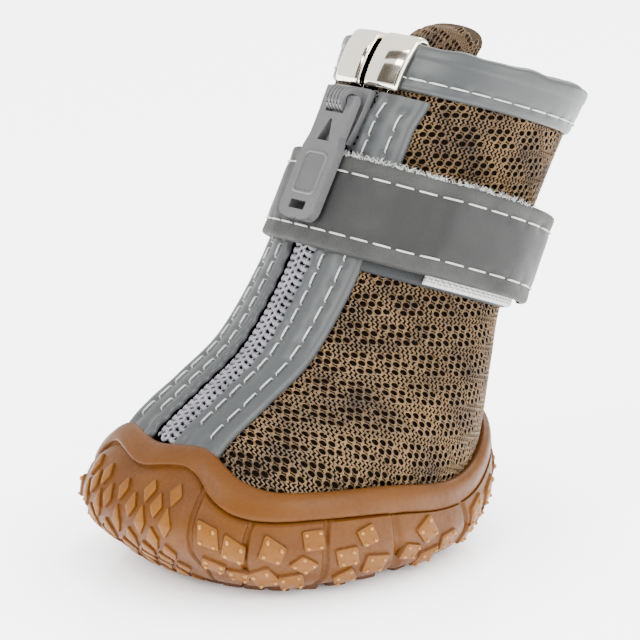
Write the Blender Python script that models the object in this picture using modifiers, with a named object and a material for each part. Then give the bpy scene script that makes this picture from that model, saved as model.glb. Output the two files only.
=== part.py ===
"""Dog boot: a rubber cup sole, a hollow mesh upper with a zip up its front, and a strap.

Metres, +Z up. The origin is the middle of the tread, on the plane that the boot stands on.
The toe points to -Y. An angle goes round the boot from the toe (0) towards +X.
A level is a place up the last: 0 at the cup's floor, TOP_LEVEL at the collar's edge.
"""

import math

import bmesh
import bpy
from mathutils import Matrix, Vector

# Driving sizes
FOOT_LENGTH = 0.0750
FOOT_WIDTH = 0.0600
COLLAR_HEIGHT = 0.0970
CUP_HEIGHT = 0.0270
GAP = 0.0003

# Sole
TREAD_DEPTH = 0.0012
CUP_FLOOR = 0.0050
SOLE_WALL = 0.0044
SOLE_TUCK = 0.0066
RIM_THICKNESS = 0.0025
RIM_GROOVE = 0.0011
LUG_HEIGHT = 0.0009
PANEL_GROOVE = 0.0013
DIAMOND_WIDTH = 0.0034
DIAMOND_LENGTH = 0.0066
DIAMOND_PITCH = 0.0042
DIAMOND_TAPER = 0.16
SQUARE_SIDE = 0.0039
SQUARE_TAPER = 0.10
TREAD_BLOCK = 0.0080
TREAD_TAPER = 0.08

# Upper, insole and tongue
UPPER_WALL = 0.0018
INSOLE_THICKNESS = 0.0025
TONGUE_WIDTH = 0.0360
TONGUE_THICKNESS = 0.0022
TONGUE_LEAN = 0.0085
TONGUE_ABOVE_COLLAR = 0.0135
TONGUE_LENGTH = 0.0640
TONGUE_ROUND = 0.30

# Zip
COIL_WIDTH = 0.0029
COIL_CROWN = 0.0008
ZIP_OPENING = 0.0010
TAPE_THICKNESS = 0.0005
TAPE_WIDTH = 0.0070
THROAT_MARGIN = 0.0008
PLACKET_WIDTH = 0.0105
PLACKET_THICKNESS = 0.0012
SLIDER_LENGTH = 0.0116
SLIDER_WIDTH = 0.0076
SLIDER_PLATE = 0.0014
SLIDER_BELOW_COLLAR = 0.0100
PIVOT_SHARE = 0.30
PIVOT_RADIUS = 0.0010
BRIDGE_THICKNESS = 0.0012
BRIDGE_WIDTH = 0.0046
PULL_LENGTH = 0.0250
PULL_WIDTH = 0.0100
PULL_THICKNESS = 0.0020
PULL_ARM = 0.0016
PULL_SHOULDER = (0.30, 0.42)
PULL_WINDOW_END = 0.36
PULL_SLOT = (0.86, 0.93)

# Collar
BINDING_HEIGHT = 0.0084
BINDING_THICKNESS = 0.0011
CLIP_WIDTH = 0.0082
CLIP_HEIGHT = 0.0092
CLIP_THICKNESS = 0.0007
CLIP_PILLOW = 0.0004
CLIP_FROM_MIDDLE = 0.0008

# Strap
STRAP_WIDTH = 0.0190
STRAP_THICKNESS = 0.0012
STRAP_LEVEL = 7.20
STRAP_END_ANGLE = 148
STRAP_SEAM_ANGLE = -150
BASE_THICKNESS = 0.0009
BASE_WIDTH = 0.0180
BASE_DROP = 0.0024
BASE_END_ANGLE = 230
LOOP_THICKNESS = 0.0007
LOOP_ANGLES = (66, 152)
HOOK_THICKNESS = 0.0007
HOOK_WIDTH = 0.0165
HOOK_ANGLES = (98, 145)

# The last, from the cup's floor to the collar.
# level, front and back as shares of FOOT_LENGTH, front and back height as shares of the rise
# from the cup's floor to COLLAR_HEIGHT, half width as a share of FOOT_WIDTH, squareness, egg
LAST = (
    (0.0, -0.410, 0.475, 0.000, 0.000, 0.460, 2.30, 0.00),
    (1.0, -0.473, 0.507, 0.073, 0.073, 0.492, 2.30, 0.00),
    (2.0, -0.467, 0.523, 0.149, 0.138, 0.500, 2.30, 0.02),
    (3.0, -0.380, 0.531, 0.242, 0.215, 0.488, 2.30, 0.08),
    (4.0, -0.247, 0.536, 0.313, 0.286, 0.467, 2.25, 0.14),
    (5.0, -0.107, 0.547, 0.389, 0.351, 0.447, 2.20, 0.16),
    (6.0, 0.020, 0.580, 0.520, 0.422, 0.417, 2.15, 0.14),
    (7.0, 0.113, 0.647, 0.656, 0.509, 0.400, 2.10, 0.10),
    (8.0, 0.200, 0.733, 0.793, 0.624, 0.392, 2.10, 0.06),
    (9.0, 0.287, 0.840, 0.924, 0.766, 0.392, 2.10, 0.03),
    (10.0, 0.340, 0.907, 1.000, 0.853, 0.408, 2.10, 0.00),
)
TOP_LEVEL = LAST[-1][0]

# The cup's edge.
# angle from the toe in degrees, rim height and groove height as shares of CUP_HEIGHT
RIM = (
    (0.0, 0.963, 0.826),
    (10.0, 0.985, 0.863),
    (18.0, 0.993, 0.874),
    (24.0, 0.970, 0.830),
    (31.0, 0.900, 0.722),
    (39.0, 0.824, 0.644),
    (50.0, 0.767, 0.607),
    (68.0, 0.748, 0.600),
    (85.0, 0.726, 0.570),
    (100.0, 0.656, 0.496),
    (112.0, 0.630, 0.474),
    (124.0, 0.667, 0.511),
    (140.0, 0.800, 0.644),
    (160.0, 0.919, 0.763),
    (180.0, 0.948, 0.793),
)

# The side of the sole from its ground edge (0) to the groove (1).
# place, height share, share of SOLE_WALL, share of SOLE_TUCK
SIDE = (
    (0.00, 0.00, 0.80, 1.00),
    (0.12, 0.04, 0.85, 0.60),
    (0.26, 0.15, 0.90, 0.25),
    (0.42, 0.30, 0.95, 0.07),
    (0.58, 0.48, 1.00, 0.00),
    (0.76, 0.68, 1.02, 0.00),
    (1.00, 1.00, 0.78, 0.00),
)

# The cup's inner wall and the rim's section above the groove.
# share of the wall's height
CUP_WALL = (0.35, 0.60, 0.82)
# place above the rim's edge as a share of the rim's band, lift as a share of RIM_THICKNESS
RIM_SECTION = ((0.0, 0.12), (0.10, 0.45), (-0.08, 0.92), (-0.45, 1.14))
RIM_FOOT = 1.22

# How far the ground edge tucks in. angle from the toe in degrees, share of SOLE_TUCK
TUCK = ((0.0, 1.50), (30.0, 1.35), (60.0, 1.05), (110.0, 1.00), (150.0, 1.20), (180.0, 1.40))

# Strap's inner face. angle in degrees, pieces that it passes over: placket, base, fastening tapes
STRAP_OVER = (
    (-180.0, 0.0, 1.0, 0.0),
    (-124.0, 0.0, 1.0, 0.0),
    (-112.0, 0.0, 0.0, 0.0),
    (-60.0, 0.0, 0.0, 0.0),
    (-42.0, 1.0, 0.0, 0.0),
    (28.0, 1.0, 0.0, 0.0),
    (44.0, 0.2, 1.0, 0.0),
    (56.0, 0.1, 1.0, 0.1),
    (66.0, 0.0, 1.0, 0.9),
    (74.0, 0.0, 1.0, 1.0),
    (180.0, 0.0, 1.0, 1.0),
)

# Slanted grooves between the side's panels.
# angle at the groove below the rim, angle at the ground edge
PANEL_EDGES = ((27.0, 25.0), (45.0, 36.0), (68.0, 64.0), (88.0, 90.0), (113.0, 124.0), (142.0, 150.0))

# Rows of the toe's diamonds: place up the side
DIAMOND_ROWS = (0.93, 0.745, 0.56, 0.375, 0.19)

# Raised squares: angle, place up the side, turn in degrees, side as a share of SQUARE_SIDE
SQUARES = (
    (32.0, 0.80, 4.0, 1.00),
    (39.5, 0.74, -18.0, 0.96),
    (31.2, 0.50, -24.0, 0.96),
    (37.6, 0.40, -8.0, 0.92),
    (51.0, 0.76, -28.0, 1.00),
    (46.0, 0.38, 24.0, 1.10),
    (55.0, 0.30, 12.0, 1.10),
    (63.5, 0.84, 2.0, 0.95),
    (73.0, 0.62, 4.0, 1.05),
    (82.0, 0.44, -10.0, 1.20),
    (73.0, 0.28, 30.0, 1.00),
    (97.0, 0.78, 35.0, 1.05),
    (100.0, 0.32, 12.0, 1.10),
    (122.0, 0.74, 15.0, 1.00),
    (132.0, 0.42, 24.0, 1.10),
    (150.0, 0.74, 10.0, 1.05),
    (166.0, 0.48, 20.0, 1.10),
)

UPPER_COLUMNS = 33
UPPER_ROWS = 16
COLUMN_ANGLE = 13.5

MATERIALS = {
    "gum_rubber": ((0.52, 0.27, 0.12), 0.55, 0.0),
    "mesh": ((0.30, 0.20, 0.12), 0.85, 0.0),
    "grey_leather": ((0.20, 0.23, 0.24), 0.45, 0.0),
    "grey_cloth": ((0.23, 0.25, 0.26), 0.70, 0.0),
    "zip_cloth": ((0.42, 0.42, 0.45), 0.80, 0.0),
    "zip_metal": ((0.16, 0.16, 0.17), 0.35, 0.6),
    "nickel": ((0.75, 0.74, 0.70), 0.12, 1.0),
    "loop_white": ((0.80, 0.80, 0.79), 0.90, 0.0),
    "hook_grey": ((0.30, 0.31, 0.32), 0.90, 0.0),
    "insole_foam": ((0.09, 0.09, 0.10), 0.90, 0.0),
}


def read_table(table, place, level_ends=False):
    """Return the other columns of a table at a place in its first column, on a smooth curve."""
    last = len(table) - 1
    index = 0
    while index < last - 1 and table[index + 1][0] <= place:
        index += 1
    start, end = table[index], table[index + 1]
    span = end[0] - start[0]
    part = (place - start[0]) / span

    def slope(row, column):
        if level_ends and row in (0, last):
            return 0.0
        before, after = table[max(row - 1, 0)], table[min(row + 1, last)]
        return (after[column] - before[column]) / (after[0] - before[0])

    values = []
    for column in range(1, len(start)):
        leave = slope(index, column) * span
        arrive = slope(index + 1, column) * span
        rise = end[column] - start[column]
        bend = part * part * (3.0 - 2.0 * part)
        swing = leave * part * (1.0 - part) ** 2 - arrive * part * part * (1.0 - part)
        values.append(start[column] + rise * bend + swing)
    return values


def signed_power(value, power):
    """Raise a value's size to a power and keep its sign."""
    return math.copysign(abs(value) ** power, value)


def last_point(level, angle):
    """Return the point of the upper's outer face at a level and an angle."""
    front, back, front_rise, back_rise, half, square, egg = read_table(LAST, level)
    foot = CUP_FLOOR + GAP
    rise = COLLAR_HEIGHT - foot
    along = signed_power(math.cos(angle), 2.0 / square)
    across = signed_power(math.sin(angle), 2.0 / square)
    middle = Vector((0.0, (front + back) / 2 * FOOT_LENGTH, foot + (front_rise + back_rise) / 2 * rise))
    reach = Vector((0.0, (front - back) / 2 * FOOT_LENGTH, (front_rise - back_rise) / 2 * rise))
    point = middle + reach * along
    point.x = half * FOOT_WIDTH * across * (1.0 - egg * along)
    return point


def last_frame(level, angle):
    """Return the upward tangent and the outward normal of the upper's outer face."""
    small = 0.004
    low, high = max(level - small, 0.0), min(level + small, TOP_LEVEL)
    upward = (last_point(high, angle) - last_point(low, angle)).normalized()
    around = last_point(level, angle + small) - last_point(level, angle - small)
    return upward, around.cross(upward).normalized()


def skin(level, angle, lift):
    """Return a point at a distance outside the upper's outer face."""
    return last_point(level, angle) + last_frame(level, angle)[1] * lift


def level_at_height(angle, height):
    """Return the level at which the last reaches a height."""
    low, high = 0.0, TOP_LEVEL
    for _ in range(18):
        middle = (low + high) / 2
        if last_point(middle, angle).z < height:
            low = middle
        else:
            high = middle
    return (low + high) / 2


def angle_at_distance(level, distance):
    """Return the angle whose arc from the front centre line has a length."""
    if distance == 0.0:
        return 0.0
    step = math.copysign(0.02, distance)
    angle, walked = 0.0, 0.0
    here = last_point(level, angle)
    while True:
        ahead = last_point(level, angle + step)
        leg = (ahead - here).length
        if walked + leg >= abs(distance):
            return angle + step * (abs(distance) - walked) / leg
        walked += leg
        angle += step
        here = ahead


def level_from(level, angle, distance):
    """Return the level reached by going a distance up the last, or down for a negative one."""
    step = math.copysign(0.05, distance)
    walked = 0.0
    here = last_point(level, angle)
    while 0.0 <= level + step <= TOP_LEVEL:
        ahead = last_point(level + step, angle)
        leg = (ahead - here).length
        if walked + leg >= abs(distance):
            return level + step * (abs(distance) - walked) / leg
        walked += leg
        level += step
        here = ahead
    return level


def collar_skin(angle, above, lift):
    """Return a point by its distance above the collar's edge, or below it for a negative one."""
    if above <= 0.0:
        return skin(level_from(TOP_LEVEL, angle, above), angle, lift)
    upward, outward = last_frame(TOP_LEVEL, angle)
    return last_point(TOP_LEVEL, angle) + upward * above + outward * lift


def rim_heights(angle):
    """Return the heights of the cup's rim and of the groove below it."""
    turn = abs(math.degrees(math.atan2(math.sin(angle), math.cos(angle))))
    rim, groove = read_table(RIM, turn, level_ends=True)
    return rim * CUP_HEIGHT, groove * CUP_HEIGHT


def outward_flat(level, angle):
    """Return the level direction that points away from the last."""
    normal = last_frame(level, angle)[1]
    return Vector((normal.x, normal.y, 0.0)).normalized()


def side_at(angle, height, out):
    """Return a point at a height, out from the last in a level direction."""
    level = level_at_height(angle, height)
    point = last_point(level, angle) + outward_flat(level, angle) * out
    point.z = height
    return point


def side_point(angle, place):
    """Return a point of the sole's side, between its ground edge (0) and the groove (1)."""
    turn = abs(math.degrees(math.atan2(math.sin(angle), math.cos(angle))))
    groove = rim_heights(angle)[1]
    height, wall, tuck = read_table(SIDE, min(max(place, 0.0), 1.0), level_ends=True)
    deep = read_table(TUCK, turn, level_ends=True)[0]
    out = wall * SOLE_WALL - tuck * deep * SOLE_TUCK
    return side_at(angle, TREAD_DEPTH + height * (groove - GAP - TREAD_DEPTH), out)


def side_skin(angle, place, proud):
    """Return a point standing proud of the sole's side."""
    small = 0.01
    around = side_point(angle + small, place) - side_point(angle - small, place)
    up = side_point(angle, min(place + small, 1.0)) - side_point(angle, max(place - small, 0.0))
    return side_point(angle, place) + around.cross(up).normalized() * proud


def make_material(name):
    """Make a plain Principled material from its row in MATERIALS."""
    colour, roughness, metallic = MATERIALS[name]
    material = bpy.data.materials.new(name)
    material.use_nodes = True
    shader = material.node_tree.nodes["Principled BSDF"]
    shader.inputs["Base Color"].default_value = (*colour, 1.0)
    shader.inputs["Roughness"].default_value = roughness
    shader.inputs["Metallic"].default_value = metallic
    return material


def add_object(name, data, material, collection):
    """Put mesh or curve data in the scene as an object with one material."""
    thing = bpy.data.objects.new(name, data)
    data.materials.append(material)
    collection.objects.link(thing)
    return thing


def finish_mesh(name, build, material, collection):
    """Turn a bmesh into an object, smooth except at sharp edges."""
    mesh = bpy.data.meshes.new(name)
    build.to_mesh(mesh)
    build.free()
    mesh.shade_smooth()
    mesh.set_sharp_from_angle(angle=math.radians(35))
    return add_object(name, mesh, material, collection)


def grid_shape(cells, place):
    """Make a grid and move each point to place(across, along), both from 0 to 1."""
    build = bmesh.new()
    bmesh.ops.create_grid(build, x_segments=cells[0], y_segments=cells[1], size=0.5)
    for vert in build.verts:
        vert.co = place(vert.co.x + 0.5, vert.co.y + 0.5)
    return build


def add_thickness(thing, thickness, side):
    """Give an open surface a thickness, outward for side 1 and inward for side -1."""
    shell = thing.modifiers.new("Wall", "SOLIDIFY")
    shell.thickness = thickness
    shell.offset = side
    return thing


def add_block(build, cells, place):
    """Add a closed block to a bmesh: place(across, along, layer) moves its points, layer 0 inside."""
    made = bmesh.ops.create_grid(build, x_segments=cells[0], y_segments=cells[1], size=0.5)
    base = made["verts"]
    faces = list({face for vert in base for face in vert.link_faces})
    raised = bmesh.ops.extrude_face_region(build, geom=faces)["geom"]
    top = [item for item in raised if isinstance(item, bmesh.types.BMVert)]
    for layer, verts in ((0.0, base), (1.0, top)):
        for vert in verts:
            vert.co = place(vert.co.x + 0.5, vert.co.y + 0.5, layer)
    shell = list({face for vert in base + top for face in vert.link_faces})
    bmesh.ops.recalc_face_normals(build, faces=shell)
    rise = sum((vert.co for vert in top), Vector()) - sum((vert.co for vert in base), Vector())
    cap = next(face for face in shell if all(vert in top for vert in face.verts))
    cap.normal_update()
    if cap.normal.dot(rise) < 0.0:
        bmesh.ops.reverse_faces(build, faces=shell)


def add_boolean(thing, other, operation):
    """Join or cut a thing with another by an exact Boolean."""
    modifier = thing.modifiers.new(operation.title(), "BOOLEAN")
    modifier.operation = operation
    modifier.solver = "EXACT"
    modifier.use_self = True
    modifier.object = other
    other.hide_render = True
    other.display_type = "WIRE"


def zip_spread(below_collar):
    """Return how far each half of the zip stands aside above the slider's middle."""
    middle = SLIDER_BELOW_COLLAR + SLIDER_LENGTH / 2
    part = min(max((middle - below_collar) / (SLIDER_LENGTH / 2), 0.0), 1.0)
    return ZIP_OPENING * part * part * (3.0 - 2.0 * part)


def throat_edge(below_collar):
    """Return the distance of the throat's edge from the centre line."""
    return GAP / 2 + COIL_WIDTH + THROAT_MARGIN + zip_spread(below_collar)


def zip_run():
    """Return how far below the collar the zip starts, at the rim, and ends, at the clips."""
    rim_level = level_at_height(0.0, rim_heights(0.0)[0])
    length = front_length(rim_level)
    return length - RIM_THICKNESS, CLIP_HEIGHT + GAP


def front_length(level):
    """Return the length of the front centre line from a level to the collar."""
    steps = 60
    total = 0.0
    here = last_point(level, 0.0)
    for step in range(1, steps + 1):
        ahead = last_point(level + (TOP_LEVEL - level) * step / steps, 0.0)
        total += (ahead - here).length
        here = ahead
    return total


def front_skin(below_collar, aside, lift):
    """Return a point of the front by its distance below the collar and from the centre line."""
    level = level_from(TOP_LEVEL, 0.0, -below_collar)
    return skin(level, angle_at_distance(level, aside), lift)


def sole_columns():
    """Return the sole's columns: angle at the groove, angle at the ground edge, share of its depth."""
    half_groove = math.degrees(PANEL_GROOVE / FOOT_WIDTH)
    edges = sorted(PANEL_EDGES + tuple((360.0 - top, 360.0 - foot) for top, foot in PANEL_EDGES))
    after = edges[1:] + [(edges[0][0] + 360.0, edges[0][1] + 360.0)]
    columns = []
    for (top, foot), (next_top, next_foot) in zip(edges, after):
        columns += [(top - half_groove, foot - half_groove, 0.0), (top, foot, 1.0),
                    (top + half_groove, foot + half_groove, 0.0)]
        between = max(round((next_top - top) / COLUMN_ANGLE) - 1, 0)
        for step in range(1, between + 1):
            share = step / (between + 1)
            columns.append((top + (next_top - top) * share, foot + (next_foot - foot) * share, 0.0))
    return [(math.radians(top), math.radians(foot), depth) for top, foot, depth in columns]


def make_outsole(material, collection, cutters):
    """The cup sole: floor, wall, rim, groove, side panels, lugs and tread."""
    rim_foot = RIM_FOOT * RIM_THICKNESS
    rows = [lambda a: side_at(a, CUP_FLOOR, GAP)]
    rows += [lambda a, up=up: wall_point(a, up) for up in CUP_WALL]
    rows += [lambda a, up=up, out=out: rim_point(a, up, out * RIM_THICKNESS) for up, out in RIM_SECTION]
    rows += [
        lambda a: side_at(a, rim_heights(a)[1] + RIM_GROOVE / 2, rim_foot),
        lambda a: side_at(a, rim_heights(a)[1] + RIM_GROOVE / 3, rim_foot - RIM_GROOVE),
        lambda a: side_at(a, rim_heights(a)[1] - GAP, rim_foot - RIM_GROOVE),
    ]
    side_places = [row[0] for row in reversed(SIDE)]
    count = len(rows) + len(side_places)
    columns = sole_columns()

    def place(across, along):
        top, foot, groove = columns[round(across * len(columns)) % len(columns)]
        row = round(along * (count - 1))
        if row < len(rows):
            return rows[row](top)
        up = side_places[row - len(rows)]
        depth = groove * LUG_HEIGHT * min(up / side_places[-2], 1.0)
        return side_skin(foot + (top - foot) * up, up, -depth)

    build = grid_shape((len(columns), count - 1), place)
    bmesh.ops.remove_doubles(build, verts=build.verts[:], dist=0.00001)
    bmesh.ops.holes_fill(build, edges=[edge for edge in build.edges if edge.is_boundary])
    bmesh.ops.recalc_face_normals(build, faces=build.faces[:])
    bmesh.ops.triangulate(build, faces=build.faces[:])
    outsole = finish_mesh("outsole", build, material, collection)
    lugs = bmesh.new()
    add_side_lugs(lugs)
    add_tread(lugs)
    bmesh.ops.triangulate(lugs, faces=lugs.faces[:])
    add_boolean(outsole, finish_mesh("sole_lugs", lugs, material, cutters), "UNION")
    return outsole


def wall_point(angle, share):
    """Return a point of the cup's inner wall by its share of the wall's height."""
    return skin(share * level_at_height(angle, rim_heights(angle)[0]), angle, 3 * GAP)


def rim_point(angle, up_share, lift):
    """Return a point of the rim by its height above the rim's edge, as a share of the rim's band."""
    rim, groove = rim_heights(angle)
    level = level_at_height(angle, rim + up_share * (rim - groove))
    return skin(level, angle, lift)


def add_side_lug(build, angle, place, corners, taper):
    """Add a low four-sided lug at a place on the side; its corners are in metres across and up."""
    small = 0.01
    reach = (side_point(angle + small, place) - side_point(angle - small, place)).length / (2 * small)
    low, high = max(place - small, 0.0), min(place + small, 1.0)
    climb = (side_point(angle, high) - side_point(angle, low)).length / (high - low)

    def put(across, along, layer):
        corner = corners[(0 if across < 0.5 else 1) if along < 0.5 else (3 if across < 0.5 else 2)]
        share = 1.0 - taper * layer
        turn = angle + corner[0] * share / reach
        up = min(max(place + corner[1] * share / climb, 0.01), 0.985)
        return side_skin(turn, up, (2.5 * layer - 1.5) * LUG_HEIGHT)

    add_block(build, (1, 1), put)


def add_side_lugs(build):
    """Add the toe's staggered diamonds and the squares of the side panels."""
    half_width, half_length = DIAMOND_WIDTH / 2, DIAMOND_LENGTH / 2
    diamond = ((0.0, -half_length), (half_width, 0.0), (0.0, half_length), (-half_width, 0.0))
    small = 0.01
    for row, place in enumerate(DIAMOND_ROWS):
        reach = (side_point(small, place) - side_point(-small, place)).length / (2 * small)
        columns = int((math.radians(PANEL_EDGES[0][1]) * reach - half_width) / DIAMOND_PITCH)
        shift = 0.5 if row % 2 else 0.0
        for column in range(-columns, columns + (0 if row % 2 else 1)):
            add_side_lug(build, (column + shift) * DIAMOND_PITCH / reach, place, diamond, DIAMOND_TAPER)
    for turn, place, spin, size in SQUARES:
        half = SQUARE_SIDE * size / 2
        corners = ((-half, -half), (half, -half), (half, half), (-half, half))
        for hand in (-1.0, 1.0):
            rotate = Matrix.Rotation(math.radians(spin) * hand, 2)
            square = [rotate @ Vector(corner) for corner in corners]
            add_side_lug(build, hand * math.radians(turn), place, square, SQUARE_TAPER)


def add_tread(build):
    """Add the tread's blocks under the sole, which all end on the ground plane."""
    pitch_x, pitch_y = TREAD_BLOCK * 1.25, TREAD_BLOCK
    half = Vector((TREAD_BLOCK / 2, TREAD_BLOCK * 0.37, 0.0))
    rows, columns = int(FOOT_LENGTH / 2 / pitch_y), int(FOOT_WIDTH / 2 / pitch_x)
    for row in range(-rows, rows + 1):
        for column in range(-columns, columns + 1):
            centre = Vector(((column + (0.5 if row % 2 else 0.0)) * pitch_x, row * pitch_y, 0.0))
            if not inside_tread(centre, half + Vector((TREAD_DEPTH, TREAD_DEPTH, 0.0))):
                continue

            def place(across, along, layer):
                share = 1.0 - TREAD_TAPER * layer
                spot = centre + half * share * (across * 2.0 - 1.0)
                spot.y = centre.y + half.y * share * (along * 2.0 - 1.0)
                spot.z = TREAD_DEPTH * (1.0 - layer) * 1.8
                return spot

            add_block(build, (1, 1), place)


def inside_tread(centre, half):
    """Say whether a block of a half size lies inside the ground edge."""
    middle = (side_point(0.0, 0.0).y + side_point(math.pi, 0.0).y) / 2
    for x in (-half.x, half.x):
        for y in (-half.y, half.y):
            corner = centre + Vector((x, y, 0.0))
            angle = ground_angle(corner, middle)
            edge = side_point(angle, 0.0)
            if math.hypot(corner.x, corner.y - middle) > math.hypot(edge.x, edge.y - middle):
                return False
    return True


def ground_angle(point, middle):
    """Return the last's angle at which the ground edge lies in a point's direction."""
    aim = math.atan2(abs(point.x), middle - point.y)
    low, high = 0.0, math.pi
    for _ in range(14):
        half = (low + high) / 2
        edge = side_point(half, 0.0)
        if math.atan2(edge.x, middle - edge.y) < aim:
            low = half
        else:
            high = half
    return (low + high) / 2


def make_insole(material, collection):
    """The insole, which lies on the cup's floor inside the upper."""
    build = bmesh.new()
    ring = []
    for column in range(UPPER_COLUMNS):
        angle = column * math.tau / UPPER_COLUMNS
        point = last_point(0.0, angle) - outward_flat(0.0, angle) * (UPPER_WALL + 2 * GAP)
        ring.append(build.verts.new((point.x, point.y, CUP_FLOOR + GAP)))
    face = build.faces.new(ring)
    raised = bmesh.ops.extrude_face_region(build, geom=[face])["geom"]
    for vert in raised:
        if isinstance(vert, bmesh.types.BMVert):
            vert.co.z += INSOLE_THICKNESS
    bmesh.ops.recalc_face_normals(build, faces=build.faces[:])
    return finish_mesh("insole", build, material, collection)


def upper_angle(level, column):
    """Return the angle of a column of the upper, from one edge of the throat round to the other."""
    edge = angle_at_distance(level, throat_edge(front_length(level)))
    return edge + (math.tau - 2 * edge) * (column % UPPER_COLUMNS) / (UPPER_COLUMNS - 1)


def make_upper(material, collection):
    """The hollow mesh upper, open at the collar, along the zip and over the cup's floor."""
    zip_start = zip_run()[0]
    columns, rows = UPPER_COLUMNS, UPPER_ROWS
    throat_level = level_from(TOP_LEVEL, 0.0, -(zip_start + RIM_THICKNESS))

    def place(across, along):
        level = along * TOP_LEVEL
        return last_point(level, upper_angle(level, round(across * columns)))

    build = bmesh.new()
    bmesh.ops.create_grid(build, x_segments=columns, y_segments=rows, size=0.5)
    limit_x = 0.5 - 1.0 / columns
    limit_y = throat_level / TOP_LEVEL - 0.5 - 0.5 / rows
    throat = [face for face in build.faces
              if face.calc_center_median().x > limit_x and face.calc_center_median().y > limit_y]
    bmesh.ops.delete(build, geom=throat, context="FACES")
    for vert in build.verts:
        vert.co = place(vert.co.x + 0.5, vert.co.y + 0.5)
    bmesh.ops.remove_doubles(build, verts=build.verts[:], dist=0.00001)
    return add_thickness(finish_mesh("upper", build, material, collection), UPPER_WALL, -1)


def make_tongue(material, collection):
    """The padded tongue behind the zip, with its round top above the collar."""
    def place(across, along):
        aside = (across - 0.5) * TONGUE_WIDTH
        round_off = 1.0 - math.sqrt(max(1.0 - (2.0 * across - 1.0) ** 2 * 0.94, 0.0))
        top = TONGUE_ABOVE_COLLAR - round_off * TONGUE_WIDTH * TONGUE_ROUND
        above = -TONGUE_LENGTH + (top + TONGUE_LENGTH) * along
        lean = max((above + TONGUE_LENGTH * 0.55) / (TONGUE_LENGTH * 0.55 + TONGUE_ABOVE_COLLAR), 0.0)
        under = UPPER_WALL + 3 * GAP + TAPE_THICKNESS
        under += (BINDING_THICKNESS + CLIP_THICKNESS + 2 * GAP) * min(lean * 1.6, 1.0)
        level = level_from(TOP_LEVEL, 0.0, min(above, -0.00001))
        angle = angle_at_distance(level, aside)
        lift = -under - TONGUE_LEAN * lean * lean
        if above <= 0.0:
            return skin(level, angle, lift)
        upward, outward = last_frame(TOP_LEVEL, angle)
        return last_point(TOP_LEVEL, angle) + upward * above + outward * lift

    build = grid_shape((7, 10), place)
    return add_thickness(finish_mesh("tongue", build, material, collection), TONGUE_THICKNESS, -1)


def make_placket(name, hand, material, collection):
    """A leather strip beside the zip, from the rim to the collar binding."""
    def place(across, along):
        start, _ = zip_run()
        inner = throat_edge(start + (BINDING_HEIGHT - start) * along) - GAP
        aside = hand * (inner + across * PLACKET_WIDTH)
        angle = angle_at_distance(4.0, aside)
        foot = level_from(level_at_height(angle, rim_heights(angle)[0]), angle, RIM_THICKNESS)
        end = level_from(TOP_LEVEL, angle, -(CLIP_HEIGHT + 2 * GAP))
        level = foot + (end - foot) * along
        return skin(level, angle_at_distance(level, aside), GAP * 1.6)

    build = grid_shape((3, 16), place)
    if hand < 0:
        bmesh.ops.reverse_faces(build, faces=build.faces[:])
    return add_thickness(finish_mesh(name, build, material, collection), PLACKET_THICKNESS, 1)


def make_zip_tape(name, hand, material, collection):
    """One half of the zip's tape, which lies inside the upper along the throat."""
    start, end = zip_run()

    def place(across, along):
        below = start + (end + 2 * GAP - start) * along
        aside = hand * (GAP + zip_spread(below) + across * TAPE_WIDTH)
        return front_skin(below, aside, -UPPER_WALL - 1.5 * GAP)

    build = grid_shape((1, 14), place)
    if hand < 0:
        bmesh.ops.reverse_faces(build, faces=build.faces[:])
    return add_thickness(finish_mesh(name, build, material, collection), TAPE_THICKNESS, -1)


def make_coil(name, hand, material, collection):
    """One half of the zip's coil, on its tape and between the edges of the throat."""
    start, end = zip_run()
    build = bmesh.new()

    def place(across, along, layer):
        below = start + (end - start) * along
        aside = hand * (GAP / 2 + zip_spread(below) + across * COIL_WIDTH)
        crown = COIL_CROWN if 0.1 < across < 0.9 else COIL_CROWN * 0.3
        return front_skin(below, aside, crown if layer else -UPPER_WALL)

    add_block(build, (2, 18), place)
    return finish_mesh(name, build, material, collection)


def slider_frame():
    """Return the pull's pivot, the direction down the zip and the outward normal."""
    below = SLIDER_BELOW_COLLAR + SLIDER_LENGTH * PIVOT_SHARE
    level = level_from(TOP_LEVEL, 0.0, -below)
    upward, outward = last_frame(level, 0.0)
    clear = strap_lift(0.0) + STRAP_THICKNESS + GAP + PULL_THICKNESS / 2
    return last_point(level, 0.0) + outward * clear, -upward, outward


def make_slider(material, collection, cutters):
    """The zip slider: a plate on the coil, a divider between its halves and a bridge for the pull."""
    build = bmesh.new()

    def plate(across, along, layer):
        below = SLIDER_BELOW_COLLAR + SLIDER_LENGTH * along
        waist = 1.0 - 0.22 * max(along * 2.0 - 1.0, 0.0)
        lift = COIL_CROWN + GAP + layer * SLIDER_PLATE
        return front_skin(below, (across - 0.5) * SLIDER_WIDTH * waist * (1.0 - 0.1 * layer), lift)

    add_block(build, (4, 5), plate)
    slider = finish_mesh("zip_slider", build, material, collection)

    post = bmesh.new()

    def divider(across, along, layer):
        below = SLIDER_BELOW_COLLAR + SLIDER_LENGTH * (0.04 + 0.10 * along)
        lift = GAP - UPPER_WALL if layer < 0.5 else COIL_CROWN + GAP + SLIDER_PLATE / 2
        return front_skin(below, (across - 0.5) * 2.0 * (ZIP_OPENING - 1.5 * GAP), lift)

    add_block(post, (1, 1), divider)
    add_boolean(slider, finish_mesh("slider_divider", post, material, cutters), "UNION")
    add_boolean(slider, make_bridge(material, cutters), "UNION")
    return slider


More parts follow.
